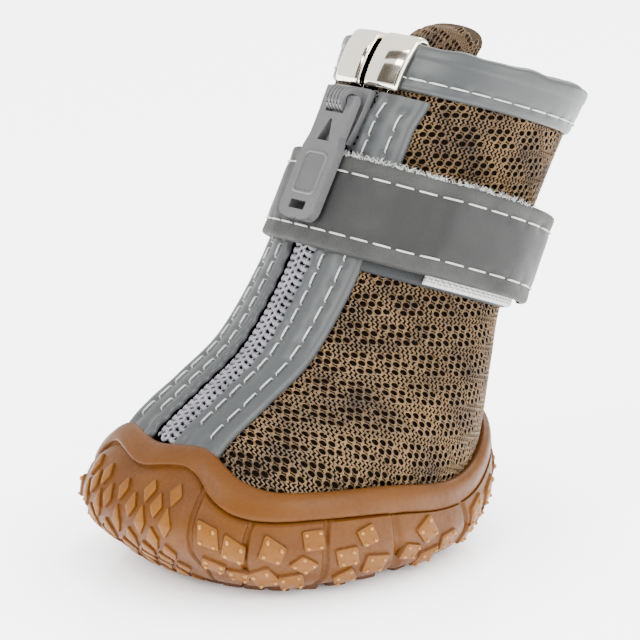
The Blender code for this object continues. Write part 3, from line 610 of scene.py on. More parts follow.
def dust_group() -> bpy.types.NodeTree:
    """Make the group for the light dust and rubbing that a worn piece shows in patches.

    Returns:
        The group's tree.
    """
    work, given, out = shared_group("dust", {"Vector": (0.0, 0.0, 0.0), "Amount": 0.2}, ("Mask",))
    vector = given.outputs["Vector"]
    patch = work.node("ShaderNodeTexNoise", {"Vector": vector, "Scale": 90.0, "Detail": 5.0})
    speck = work.node("ShaderNodeTexNoise", {"Vector": vector, "Scale": 2600.0})
    both = work.sum("MULTIPLY", patch.outputs["Fac"], speck.outputs["Fac"])
    mask = work.node("ShaderNodeMapRange", {"Value": both, "From Min": 0.24, "From Max": 0.42})
    amount = work.sum("MULTIPLY", mask.outputs[0], given.outputs["Amount"])
    work.tree.links.new(amount, out.inputs["Mask"])
    return work.tree


class Ground(Enum):
    """What carries the fine relief of a finish."""

    GRAIN = "Object"
    WEAVE = "UV"


@dataclass(frozen=True)
class Finish:
    """One surface finish: two tones, relief, gloss and dust."""

    name: str
    light: tuple
    dark: tuple
    roughness: float = 0.6
    metallic: float = 0.0
    ground: Ground = Ground.GRAIN
    size: float = 0.001
    depth: float = 0.0001
    strength: float = 0.5
    dust: float = 0.1
    coat: float = 0.0
    sheen: float = 0.0
    subsurface: float = 0.0
    specular: float = 0.5
    roughness_spread: float = 0.12

    def material(self, groups: dict) -> bpy.types.Material:
        """Build the material.

        Args:
            groups: The shared groups by name.

        Returns:
            The material.
        """
        made = bpy.data.materials.new(self.name)
        made.use_nodes = True
        work = NodeWork(made.node_tree)
        shader = made.node_tree.nodes["Principled BSDF"]
        coordinates = work.node("ShaderNodeTexCoord")
        if self.ground is Ground.WEAVE:
            relief = work.node("ShaderNodeGroup", node_tree=groups["weave"])
            relief.inputs["Pitch"].default_value = self.size
        else:
            relief = work.node("ShaderNodeGroup", node_tree=groups["grain"])
            relief.inputs["Size"].default_value = self.size
        made.node_tree.links.new(coordinates.outputs[self.ground.value], relief.inputs["Vector"])
        dust = work.node("ShaderNodeGroup", node_tree=groups["dust"])
        dust.inputs["Amount"].default_value = self.dust
        made.node_tree.links.new(coordinates.outputs["Object"], dust.inputs["Vector"])
        tone = work.mix(relief.outputs["Tone"], (*self.dark, 1.0), (*self.light, 1.0))
        pale = tuple(0.7 * part + 0.06 for part in self.light)
        base = work.mix(dust.outputs["Mask"], tone, (*pale, 1.0))
        gloss = work.node("ShaderNodeMapRange", {
            "Value": relief.outputs["Tone"], "To Min": self.roughness + self.roughness_spread,
            "To Max": max(self.roughness - self.roughness_spread, 0.02)})
        bump = work.node("ShaderNodeBump", {
            "Height": relief.outputs["Height"], "Distance": self.depth, "Strength": self.strength})
        for output, socket in ((base, "Base Color"), (gloss.outputs[0], "Roughness"),
                               (bump.outputs[0], "Normal")):
            made.node_tree.links.new(output, shader.inputs[socket])
        for socket, value in (("Metallic", self.metallic), ("Coat Weight", self.coat),
                              ("Coat Roughness", 0.25), ("Sheen Weight", self.sheen),
                              ("Sheen Roughness", 0.4), ("Subsurface Weight", self.subsurface),
                              ("Subsurface Scale", 0.002), ("Specular IOR Level", self.specular)):
            shader.inputs[socket].default_value = value
        return made


FINISHES = (
    Finish("gum_rim", (0.100, 0.033, 0.0023), (0.081, 0.025, 0.0015), 0.46, size=0.0011, depth=0.00004,
           dust=0.02, subsurface=0.1, specular=0.2),
    # The next finish is a darker copy of the same gum, for the lug walls and the recessed side between the
    # lugs: painted shade.
    Finish("gum_wall", (0.104, 0.0345, 0.0016), (0.078, 0.023, 0.0010), 0.48, size=0.0008, depth=0.00005,
           dust=0.01, subsurface=0.1, specular=0.2),
    Finish("gum_block", (0.160, 0.058, 0.0038), (0.126, 0.043, 0.0026), 0.48, size=0.0009, depth=0.00004,
           dust=0.02, subsurface=0.08, specular=0.2),
    Finish("gum_dot", (0.34, 0.165, 0.045), (0.28, 0.125, 0.030), 0.42, size=0.0006, dust=0.03,
           subsurface=0.12, specular=0.3),
    Finish("gum_tread", (0.13, 0.045, 0.013), (0.09, 0.030, 0.008), 0.62, size=0.0009, dust=0.2),
    Finish("net_yarn", (0.214, 0.126, 0.053), (0.024, 0.0125, 0.0046), 0.42, size=0.00022, depth=0.00006,
           strength=1.0, dust=0.01, specular=0.5),
    Finish("wale_yarn", (0.206, 0.119, 0.048), (0.018, 0.0095, 0.0034), 0.40, size=0.00020, depth=0.00006,
           strength=1.0, dust=0.01, specular=0.5),
    Finish("edge_cloth", (0.060, 0.036, 0.0165), (0.030, 0.017, 0.0075), 0.8, ground=Ground.WEAVE,
           size=0.0005, depth=0.0001, dust=0.02, specular=0.25),
    # Dark brown inner cloth, darkened near to black as painted shade for what shows through the holes and on
    # the hole walls.
    Finish("inner_cloth", (0.0090, 0.0054, 0.0034), (0.0032, 0.0019, 0.0012), 0.9, ground=Ground.WEAVE,
           size=0.0005, depth=0.0001, dust=0.0, specular=0.1),
    Finish("satin_leather", (0.047, 0.0505, 0.051), (0.037, 0.040, 0.0405), 0.43, size=0.00035,
           depth=0.00003, strength=0.35, dust=0.03, coat=0.08, specular=0.4),
    Finish("reflective_band", (0.0185, 0.0183, 0.0180), (0.0150, 0.0148, 0.0146), 0.54, size=0.0003,
           depth=0.00002, strength=0.3, dust=0.02, specular=0.35),
    Finish("grainy_band", (0.040, 0.0405, 0.0375), (0.020, 0.0205, 0.0190), 0.62, size=0.00026,
           depth=0.00007, strength=0.8, dust=0.05, specular=0.35),
    Finish("base_cloth", (0.026, 0.028, 0.029), (0.016, 0.0175, 0.0185), 0.72, ground=Ground.WEAVE,
           size=0.00045, depth=0.00008, dust=0.03, specular=0.3),
    Finish("white_thread", (0.52, 0.52, 0.50), (0.34, 0.34, 0.33), 0.58, size=0.00018, depth=0.00004,
           strength=0.7, dust=0.0, sheen=0.1),
    Finish("zip_braid", (0.30, 0.295, 0.325), (0.115, 0.112, 0.126), 0.50, size=0.00016, depth=0.00004,
           strength=0.8, dust=0.02, sheen=0.05),
    Finish("zip_tape", (0.020, 0.0195, 0.020), (0.009, 0.0088, 0.009), 0.85, ground=Ground.WEAVE,
           size=0.0004, depth=0.0001, dust=0.02, specular=0.2),
    Finish("enamel", (0.098, 0.097, 0.100), (0.080, 0.079, 0.082), 0.34, metallic=0.25, size=0.0005,
           depth=0.00001, strength=0.2, dust=0.03, coat=0.25),
    Finish("enamel_floor", (0.078, 0.077, 0.080), (0.062, 0.061, 0.064), 0.44, metallic=0.2, size=0.0004,
           depth=0.00001, strength=0.3, dust=0.03, coat=0.15),
    Finish("polished_nickel", (0.98, 0.91, 0.78), (0.93, 0.86, 0.73), 0.07, metallic=1.0, size=0.002,
           depth=0.00001, strength=0.08, dust=0.0, roughness_spread=0.02),
    Finish("loop_pile", (0.62, 0.62, 0.61), (0.34, 0.34, 0.335), 0.85, ground=Ground.WEAVE,
           size=0.0006, depth=0.00025, strength=0.9, dust=0.0, sheen=0.1),
    Finish("hook_pile", (0.07, 0.072, 0.074), (0.035, 0.036, 0.038), 0.7, ground=Ground.WEAVE,
           size=0.0007, depth=0.00025, strength=0.9, dust=0.03),
    Finish("foam_cloth", (0.030, 0.030, 0.032), (0.016, 0.016, 0.018), 0.9, ground=Ground.WEAVE,
           size=0.0007, depth=0.00015, dust=0.04),
)


def rounded_outline(corners: Array, radius: float, steps: int = 4) -> Array:
    """Return a polygon's outline with round corners.

    Args:
        corners: Corner points in order.
        radius: How far from each corner the rounding starts.
        steps: Points for each corner.

    Returns:
        The outline's points.
    """
    corners = np.asarray(corners, dtype=float)
    share = np.linspace(0.0, 1.0, steps)[:, None]
    outline = []
    for index, corner in enumerate(corners):
        before = corner + unit(corners[index - 1] - corner) * radius
        after = corner + unit(corners[(index + 1) % len(corners)] - corner) * radius
        outline.append(before * (1 - share) ** 2 + corner * 2 * share * (1 - share) + after * share ** 2)
    return np.concatenate(outline)


@dataclass
class CupSole:
    """The gum rubber cup sole: rim band, grooved side, diamonds, squares, dots and tread."""

    last: FootLast
    cup_height: float = 0.027
    gap: float = 0.0003
    tread_depth: float = 0.0012
    side_wall: float = 0.0044
    side_tuck: float = 0.0066
    rim_thickness: float = 0.0025
    lug_height: float = 0.0006
    diamond: tuple = (0.00285, 0.0053)
    diamond_height: float = 0.00055
    diamond_pitch: float = 0.0036
    diamond_spacing: float = 0.0031
    diamond_rows: int = 9
    square_side: float = 0.0044
    dot_radius: float = 0.00036
    dot_section: tuple = ((1.0, 0.0), (0.92, 0.00022), (0.65, 0.00036), (0.3, 0.00042), (0.0, 0.00043))
    dot_inset: float = 0.60
    dot_scatter: float = 0.00015
    diamond_round: float = 0.0004
    square_round: float = 0.00055
    diamonds_below_groove: float = 0.0029
    toe_reach: float = 0.0215
    toe_reach_step: float = 0.0005
    toe_half_turn: float = 24.5
    tread_block: float = 0.008
    # Degrees from the toe, then rim and groove as shares of the cup's height
    rim_table: tuple = (
        (0, 0.963, 0.826), (10, 0.985, 0.863), (18, 0.993, 0.874), (24, 0.970, 0.830), (31, 0.900, 0.722),
        (39, 0.824, 0.644), (50, 0.767, 0.607), (68, 0.748, 0.600), (85, 0.726, 0.570), (100, 0.656, 0.496),
        (112, 0.630, 0.474), (124, 0.667, 0.511), (140, 0.800, 0.644), (160, 0.919, 0.763),
        (180, 0.948, 0.793))
    # Place up the side, then shares of its height, of its wall and of its tuck
    side_table: tuple = (
        (0.0, 0.0, 0.80, 1.00), (0.12, 0.04, 0.85, 0.60), (0.26, 0.15, 0.90, 0.25), (0.42, 0.30, 0.95, 0.07),
        (0.58, 0.48, 1.00, 0.0), (0.76, 0.68, 1.02, 0.0), (1.0, 1.0, 0.78, 0.0))
    # Degrees from the toe, share of the tuck
    tuck_table: tuple = ((0, 1.5), (30, 1.35), (60, 1.05), (110, 1.0), (150, 1.2), (180, 1.4))
    # Step, share of the height over the groove (negative is down), share of the rim's thickness
    rim_section: tuple = (
        (0.0, 0.0, 0.12), (1.0, 0.06, 0.26), (2.0, 0.10, 0.45), (3.0, 0.05, 0.70), (4.0, -0.08, 0.92),
        (5.0, -0.26, 1.06), (6.0, -0.45, 1.14), (7.0, -0.70, 1.19), (8.0, -0.88, 1.20), (9.0, -0.965, 1.13),
        (10.0, -0.985, 0.98), (11.0, -0.99, 0.80), (12.0, -1.0, 0.77))
    # Degrees of each panel groove at the rim's groove and at the ground edge
    panel_edges: tuple = ((27, 25), (45, 36), (68, 64), (88, 90), (113, 124), (142, 150))
    groove_half: float = 1.35
    # Degrees from the toe, place up the side, turn in degrees, share of the square's side
    squares: tuple = (
        (32.0, 0.80, 4, 1.00), (39.5, 0.74, -18, 0.96), (31.2, 0.50, -24, 0.96), (37.6, 0.40, -8, 0.92),
        (51.0, 0.76, -28, 1.00), (46.0, 0.38, 24, 1.10), (55.0, 0.30, 12, 1.10), (63.5, 0.84, 2, 0.95),
        (73.0, 0.62, 4, 1.05), (82.0, 0.44, -10, 1.20), (73.0, 0.28, 30, 1.00), (97.0, 0.78, 35, 1.05),
        (100.0, 0.32, 12, 1.10), (122.0, 0.74, 15, 1.00), (132.0, 0.42, 24, 1.10), (150.0, 0.74, 10, 1.05),
        (166.0, 0.48, 20, 1.10), (59.5, 0.58, 40, 0.95), (79.5, 0.82, 20, 0.90), (92.0, 0.52, -16, 0.95),
        (106.5, 0.56, 10, 0.95), (121.0, 0.42, -12, 1.00), (133.5, 0.76, 8, 0.95), (152.0, 0.40, -18, 1.00),
        (164.0, 0.82, -6, 0.90))

    def rim_heights(self, angle: Array) -> tuple[Array, Array]:
        """Return the heights of the rim and of the groove under it.

        Args:
            angle: Angles from the toe.

        Returns:
            Both heights over the ground.
        """
        turn = np.degrees(turn_from_toe(angle))
        heights = curve_through(self.rim_table, turn, level_ends=True) * self.cup_height
        return heights[..., 0], heights[..., 1]

    def side_at(self, angle: Array, height: Array, out: Array) -> Array:
        """Return points at a height, out from the last in a level direction.

        Args:
            angle: Angles from the toe.
            height: Heights over the ground.
            out: Level distances outside the last.

        Returns:
            The points.
        """
        angle, height, out = np.broadcast_arrays(angle, height, out)
        level = self.last.level_at_height(angle, height)
        flat = unit(self.last.directions(level, angle)[1] * (1.0, 1.0, 0.0))
        point = self.last.point(level, angle) + flat * out[..., None]
        point[..., 2] = height
        return point

    def side(self, angle: Array, place: Array) -> Array:
        """Return points of the side between its ground edge, 0, and the groove, 1.

        Args:
            angle: Angles from the toe.
            place: Places up the side, 0 at the ground edge and 1 at the groove.

        Returns:
            The points.
        """
        angle, place = np.broadcast_arrays(angle, place)
        turn = np.degrees(turn_from_toe(angle))
        groove = self.rim_heights(angle)[1]
        height, wall, tuck = np.moveaxis(
            curve_through(self.side_table, np.clip(place, 0.0, 1.0), level_ends=True), -1, 0)
        deep = curve_through(self.tuck_table, turn, level_ends=True)[..., 0]
        out = wall * self.side_wall - tuck * deep * self.side_tuck
        return self.side_at(angle, self.tread_depth + height * (groove - self.gap - self.tread_depth), out)

    def side_skin(self, angle: Array, place: Array, proud: Array) -> Array:
        """Return points standing proud of the side.

        Args:
            angle: Angles from the toe.
            place: Places up the side, 0 at the ground edge and 1 at the groove.
            proud: Distances outside the side.

        Returns:
            The points.
        """
        around = self.side(angle + SMALL_STEP, place) - self.side(angle - SMALL_STEP, place)
        high = self.side(angle, np.minimum(place + SMALL_STEP, 1.0))
        up = high - self.side(angle, np.maximum(place - SMALL_STEP, 0.0))
        proud = np.asarray(proud, dtype=float)[..., None]
        return self.side(angle, place) + unit(np.cross(around, up)) * proud

    def columns(self) -> tuple[Array, Array, Array]:
        """Return the sole's columns: angles at the groove and the ground edge, and panel groove depth.

        Returns:
            Two rows of angles, and the share of the panel groove's full depth.
        """
        shown = np.linspace(-40.0, 130.0, 620, endpoint=False)
        hidden = np.linspace(130.0, 320.0, 300, endpoint=False)
        top = np.concatenate([shown, hidden])
        mirrored = [(360 - above, 360 - below) for above, below in self.panel_edges]
        edges = sorted(list(self.panel_edges) + mirrored)
        tops, feet = np.array(edges, dtype=float).T
        around = top % 360.0
        foot = np.interp(around, tops, feet - tops, period=360.0) + top
        near = np.min(np.abs((around[:, None] - tops[None] + 180.0) % 360.0 - 180.0), axis=1)
        return np.radians(top), np.radians(foot), 1.0 - smooth_step(near, 0.35, self.groove_half)

    def lugs(self, work: MeshWork, spots: Array, outlines: Array, foot: float, height: float,
             bevel: float, slot: int) -> None:
        """Add many low lugs with soft edges on the side.

        Args:
            work: Mesh that gets them.
            spots: Angle and place of each lug.
            outlines: Outline of each lug, in metres across and up.
            foot: Depth of the lugs' feet under the side, negative inwards.
            height: Height of their tops.
            bevel: Share of the outline that the soft edge takes.
            slot: Number of the material.
        """
        angle, place = spots[:, 0], spots[:, 1]
        around = self.side(angle + SMALL_STEP, place) - self.side(angle - SMALL_STEP, place)
        reach = np.linalg.norm(around, axis=-1) / (2 * SMALL_STEP)
        low, high = np.maximum(place - SMALL_STEP, 0.0), np.minimum(place + SMALL_STEP, 1.0)
        climb = np.linalg.norm(self.side(angle, high) - self.side(angle, low), axis=-1) / (high - low)
        rings = ((1.06, foot), (1.0, height - 0.00028), (1.0 - 0.35 * bevel, height - 0.00009),
                 (1.0 - bevel, height), (0.45, height + 0.00003), (0.0, height + 0.00004))
        for spot in range(len(spots)):
            outline = outlines[spot]
            grid = []
            for share, proud in rings:
                turn = angle[spot] + outline[:, 0] * share / reach[spot]
                up = np.clip(place[spot] + outline[:, 1] * share / climb[spot], 0.005, 0.99)
                grid.append(self.side_skin(turn, up, proud))
            grid = np.stack(grid)[:, ::-1]
            # The lug walls take slot 2, the darker copy of the gum: painted shade on the walls.
            work.surface(grid[:3][::-1], slot=2, round_columns=True)
            work.surface(grid[2:][::-1], slot=slot, round_columns=True)

    def build(self, skins: dict) -> None:
        """Build the body, its raised pattern and its tread.

        Args:
            skins: Materials by name.
        """
        top, foot, groove = self.columns()
        body = MeshWork()
        rim, low = self.rim_heights(top)
        section = curve_through(self.rim_section, np.linspace(0.0, 12.0, 31))
        up, lift = section[:, :1], section[:, 1:] * self.rim_thickness
        level = self.last.level_at_height(top[None], rim[None] + up * (rim - low)[None])
        band = self.last.skin(level, top, lift)
        wall_share = np.linspace(0.0, 0.9, 6)[:, None]
        wall_level = wall_share * self.last.level_at_height(top, rim)[None]
        wall = self.last.skin(wall_level, top, 3 * self.gap)
        body.surface(np.concatenate([wall, band])[::-1], round_columns=True, slot=0)
        place = np.concatenate([np.linspace(1.0, 0.5, 22), np.linspace(0.48, 0.0, 26)])[:, None]
        turn = foot[None] + (top - foot)[None] * place
        depth = -groove[None] * self.lug_height * 1.15 * smooth_step(place, -0.1, 0.25)
        side = self.side_skin(turn, place, depth)
        shelf = band[-1:] * 0.999 + side[:1] * 0.001
        # The side between the lugs takes the darker copy of the gum: painted shade.
        body.surface(np.concatenate([shelf, side])[::-1], round_columns=True, slot=1)
        middle = side[-1].mean(axis=0)
        shares = np.array([1.0, 0.9, 0.6, 0.3, 0.0])[:, None, None]
        body.surface((middle + (side[-1][None] - middle) * shares)[::-1], round_columns=True, slot=2)
        inner = wall[0]
        centre = inner.mean(axis=0)
        body.surface(centre + (inner[None] - centre) * shares, round_columns=True, slot=1)
        made = body.make("cup_sole", [skins["gum_rim"], skins["gum_wall"], skins["gum_tread"]])
        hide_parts("outsole")
        self.build_pattern(skins)
        self.build_tread(skins)

    def build_pattern(self, skins: dict) -> None:
        """Build the diamonds, the squares with their dots and the lumps under the edge.

        Args:
            skins: Materials by name.
        """
        work = MeshWork()
        wide, tall = self.diamond[0] / 2, self.diamond[1] / 2
        diamond = rounded_outline([(0, -tall), (wide, 0), (0, tall), (-wide, 0)], self.diamond_round)
        spots = []
        for row in range(self.diamond_rows):
            down = row * self.diamond_spacing + self.diamonds_below_groove
            reach = self.toe_reach + self.toe_reach_step * row
            columns = int(math.radians(self.toe_half_turn) * reach / self.diamond_pitch)
            shift = 0.5 if row % 2 else 0.0
            turns = np.arange(-columns, columns + (0 if row % 2 else 1)) + shift
            turns = turns * self.diamond_pitch / reach
            places = self._place_below_groove(turns, down)
            spots += [(turn, place) for turn, place in zip(turns, places) if place > 0.08]
        self.lugs(work, np.array(spots), [diamond] * len(spots), -0.0004, self.diamond_height, 0.10, 0)
        squares, shapes, dots = [], [], []
        draw = random.Random(4)
        for turn, place, spin, size in self.squares:
            half = self.square_side * size / 2
            for hand in (1, -1):
                spin_angle = math.radians(spin) * hand
                rotate = np.array([[math.cos(spin_angle), math.sin(spin_angle)],
                                   [-math.sin(spin_angle), math.cos(spin_angle)]])
                corners = np.array([(-half, -half), (half, -half), (half, half), (-half, half)]) @ rotate
                squares.append((hand * math.radians(turn), place))
                shapes.append(rounded_outline(corners, self.square_round))
                scatter = [[draw.uniform(-1, 1) * self.dot_scatter] * 2 for _ in corners]
                spots = corners * self.dot_inset + scatter
                dots += [(squares[-1], tuple(spot)) for spot in spots]
        self.lugs(work, np.array(squares), shapes, -0.0005, self.lug_height, 0.16, 0)
        turns = np.arange(10) * 0.6283
        circle = np.stack([np.cos(turns), np.sin(turns)], axis=1)
        outlines = [circle * self.dot_radius + offset for _, offset in dots]
        self.dots(work, dots, outlines)
        made = work.make("sole_pattern", [skins["gum_block"], skins["gum_dot"], skins["gum_wall"]])

    def _place_below_groove(self, turns: Array, down: float) -> Array:
        """Return the places at a distance below the rim's groove, measured on the surface.

        Args:
            turns: Angles from the toe.
            down: The distance.

        Returns:
            The places up the side.
        """
        places = np.linspace(0.0, 1.0, 90)
        line = self.side(turns[:, None], places[None])
        legs = np.linalg.norm(np.diff(line, axis=1), axis=-1)
        walked = np.concatenate([np.zeros((len(turns), 1)), np.cumsum(legs, axis=1)], axis=1)
        return np.array([np.interp(row[-1] - down, row, places) for row in walked])

    def dots(self, work: MeshWork, dots: list, outlines: list) -> None:
        """Add the round raised dots on the squares.

        Args:
            work: Mesh that gets the piece.
            dots: Each dot's square, as angle and place, and its offset in metres.
            outlines: Outline of each dot in metres.
        """
        for (spot, offset), outline in zip(dots, outlines):
            angle, place = spot
            high = min(place + SMALL_STEP, 1.0)
            pair = self.side(np.array([angle + SMALL_STEP, angle - SMALL_STEP, angle, angle]),
                             np.array([place, place, high, place - SMALL_STEP]))
            reach = np.linalg.norm(pair[0] - pair[1]) / (2 * SMALL_STEP)
            climb = np.linalg.norm(pair[2] - pair[3]) / (high - place + SMALL_STEP)
            rings = []
            for share, proud in self.dot_section:
                flat = np.array(offset) + (outline - offset) * share
                up = np.clip(place + flat[:, 1] / climb, 0.005, 0.99)
                rings.append(self.side_skin(angle + flat[:, 0] / reach, up, self.lug_height + proud))
            work.surface(np.stack(rings)[::-1, ::-1], round_columns=True, slot=1)

    def build_tread(self, skins: dict) -> None:
        """Build the tread's blocks and the lumps that peek out under the edge.

        Args:
            skins: Materials by name.
        """
        work = MeshWork()
        around = np.linspace(0.0, 2 * math.pi, 180, endpoint=False)
        edge = self.side(around, 0.0)[:, :2]
        middle = np.array([0.0, (edge[0, 1] + edge[len(edge) // 2, 1]) / 2])
        bearing = np.arctan2(edge[:, 0] - middle[0], middle[1] - edge[:, 1])
        reach = np.linalg.norm(edge - middle, axis=1)
        order = np.argsort(bearing)
        bearing, reach = bearing[order], reach[order]
        half = np.array([self.tread_block / 2, self.tread_block * 0.37])
        rows = int(self.last.foot_length / 2 / self.tread_block)
        columns = int(self.last.foot_width / 2 / (self.tread_block * 1.25))
        corners = np.array([(-1, -1), (1, -1), (1, 1), (-1, 1)])
        for row in range(-rows, rows + 1):
            for column in range(-columns, columns + 1):
                centre = np.array([(column + (0.5 if row % 2 else 0.0)) * self.tread_block * 1.25,
                                   row * self.tread_block])
                ends = centre + corners * (half + self.tread_depth)
                aim = np.arctan2(ends[:, 0], middle[1] - ends[:, 1])
                limit = np.interp(aim, bearing, reach, period=2 * math.pi)
                if np.all(np.linalg.norm(ends - middle, axis=1) < limit):
                    outline = rounded_outline(corners * half, 0.0008)
                    self.tread_lug(work, centre, outline)
        lump = rounded_outline(np.array([(-1, -1), (1, -1), (1, 1), (-1, 1)]) * (0.0021, 0.0015), 0.0007)
        for angle in np.radians(np.arange(6.0, 360.0, 11.5)):
            spot = self.side(np.array([angle]), np.array([0.02]))[0]
            inward = unit(np.array([spot[0], spot[1] - middle[1]]))
            across = np.array([-inward[1], inward[0]])
            outline = lump[:, :1] * across + lump[:, 1:] * inward
            self.tread_lug(work, spot[:2] - inward * 0.0010, outline)
        made = work.make("sole_tread", [skins["gum_tread"]])

    def tread_lug(self, work: MeshWork, centre: Array, outline: Array) -> None:
        """Add one block under the sole that ends on the ground.

        Args:
            work: Mesh that gets the piece.
            centre: Middle of the block on the ground.
            outline: Its outline around the middle.
        """
        rings = []
        for share, height in ((1.04, self.tread_depth + 0.0006), (0.99, 0.0003), (0.95, 0.00008), (0.9, 0.0),
                              (0.0, 0.0)):
            flat = centre + outline * share
            rings.append(np.column_stack([flat, np.full(len(flat), height)]))
        work.surface(np.stack(rings), round_columns=True)


@dataclass
class Knit:
    """The spacer mesh: rhombs of nine open holes between dense zig-zag wales."""

    cluster_ahead: tuple = (0.0066, 0.0012)
    cluster_down: tuple = (0.0014, 0.0060)
    hole_ahead: tuple = (0.00166, 0.00038)
    hole_down: tuple = (-0.00119, 0.00128)
    hole_size: tuple = (0.00067, 0.00055)
    crest: float = 0.00026
    wale_pitch: float = 0.00088
    wale_step: float = 0.00048
    wale_swing: float = 0.00030
    yarn: float = 0.00017
    wale_lift: float = 0.00008
    hole_depth: float = 0.00035
    hole_sides: int = 12
    dense_from: float = 1.42

    def lay(self, net: MeshWork, wales: MeshWork, place: Place, keep: Callable[[Array, Array], Array],
            extent: tuple) -> None:
        """Lay the cloth with its holes and its wales.

        Args:
            net: Mesh for the open rhombs.
            wales: Mesh for the dense wales.
            place: Gives points by cloth coordinates and lift.
            keep: Says at which cloth coordinates there is cloth.
            extent: Width and height of the cloth.
        """
        clusters = np.array([self.cluster_ahead, self.cluster_down])
        steps = np.array([self.hole_ahead, self.hole_down])
        reach = int(max(extent) / 0.005) + 4
        first, second = np.meshgrid(np.arange(-reach, reach), np.arange(-reach, reach), indexing="ij")
        centres = np.stack([first.ravel(), second.ravel()], axis=1) @ clusters
        holes = np.array([(one, two) for one in (-1, 0, 1) for two in (-1, 0, 1)]) @ steps
        spots = (centres[:, None] + holes[None]).reshape(-1, 2)
        spots = spots[np.all((spots > 0) & (spots < extent), axis=1)]
        spots = spots[keep(spots[:, 0], spots[:, 1])]
        self._lay_holes(net, spots, steps, place)
        across = np.arange(0.0, extent[0], self.wale_pitch)
        down = np.arange(0.0, extent[1], self.wale_step)
        turns = np.stack(np.meshgrid(across, down, indexing="ij"), axis=-1)
        turns[..., 0] += np.where(np.arange(len(down)) % 2 == 0, 1.0, -1.0) * self.wale_swing
        ends = np.stack([turns[:, :-1], turns[:, 1:]], axis=2).reshape(-1, 2, 2)
        middle = ends.mean(axis=1)
        where = middle @ np.linalg.inv(clusters)
        local = (where - np.rint(where)) @ clusters
        dense = np.ones(len(middle), dtype=bool)
        for shift in ((0, 0), (1, 0), (-1, 0), (0, 1), (0, -1), (1, 1), (-1, -1)):
            share = (local + np.array(shift) @ clusters) @ np.linalg.inv(steps)
            dense &= np.max(np.abs(share), axis=1) > self.dense_from
        dense &= keep(middle[:, 0], middle[:, 1])
        ends = ends[dense]
        wales.tubes(place(ends[..., 0], ends[..., 1], self.wale_lift), self.yarn, sides=4)

    def _lay_holes(self, net: MeshWork, spots: Array, steps: Array, place: Place) -> None:
        """Add the yarn around each hole: crest, hole edge and the wall below it, which takes the near-black
        inner cloth as painted shade inside the hole.

        Args:
            net: Mesh that gets the yarn.
            spots: Cloth coordinates of the holes.
            steps: The two steps from one hole to the next.
            place: Gives points by cloth coordinates and lift.
        """
        count = self.hole_sides
        turn = np.arange(count) * 2 * math.pi / count
        ray = np.stack([np.cos(turn), np.sin(turn)], axis=1)
        share = ray @ np.linalg.inv(steps)
        outer = ray / np.max(np.abs(share), axis=1, keepdims=True) / 2
        inner = ray * np.array(self.hole_size)
        middle = inner + (outer - inner) * 0.5
        rings = ((outer, self.crest * 0.55), (middle, self.crest), (inner, self.crest * 0.1),
                 (inner * 0.97, -self.hole_depth))
        grid = []
        for ring, lift in rings:
            flat = spots[:, None] + ring[None]
            grid.append(place(flat[..., 0], flat[..., 1], lift))
        grid = np.stack(grid, axis=1)
        many = len(spots)
        spot, row, column = np.meshgrid(np.arange(many), np.arange(3), np.arange(count), indexing="ij")
        start = (spot * 4 + row) * count
        after = (column + 1) % count
        faces = np.stack([start + column, start + after, start + count + after, start + count + column], -1)
        net.add(grid, faces[:, :2].reshape(-1, 4))
        # The hole walls take the near-black inner cloth: painted shade inside the holes.
        net.add(grid[:, 2:], (faces[:, 2] - start[:, 2, :, None] + (spot[:, 2] * 2 * count)[..., None])
                .reshape(-1, 4), slot=1)


@dataclass
class Throat:
    """The front opening: where the zip, its slider and the leather beside it lie."""

    last: FootLast
    sole: CupSole
    gap: float = 0.0003
    coil_width: float = 0.0029
    margin: float = 0.0008
    opening: float = 0.001
    slider_below: float = 0.010
    slider_length: float = 0.0116
    clip_height: float = 0.0092

    def run(self) -> tuple[float, float]:
        """Return how far below the collar the zip starts, at the rim, and ends.

        Returns:
            The distances of the zip's lower and upper end.
        """
        rim = self.sole.rim_heights(np.array(0.0))[0]
        level = self.last.level_at_height(np.array(0.0), rim)
        climb = self.last.level_climb(float(level), np.array([0.0]))[0]
        return float(-climb) - self.sole.rim_thickness, self.clip_height + self.gap

    def spread(self, below: Array) -> Array:
        """Return how far each half of the zip stands aside above the slider's middle."""
        middle = self.slider_below + self.slider_length / 2
        return self.opening * smooth_step((middle - below) / (self.slider_length / 2), 0.0, 1.0)

    def edge(self, below: Array) -> Array:
        """Return the distance of the upper's edge from the centre line."""
        return self.gap / 2 + self.coil_width + self.margin + self.spread(below)


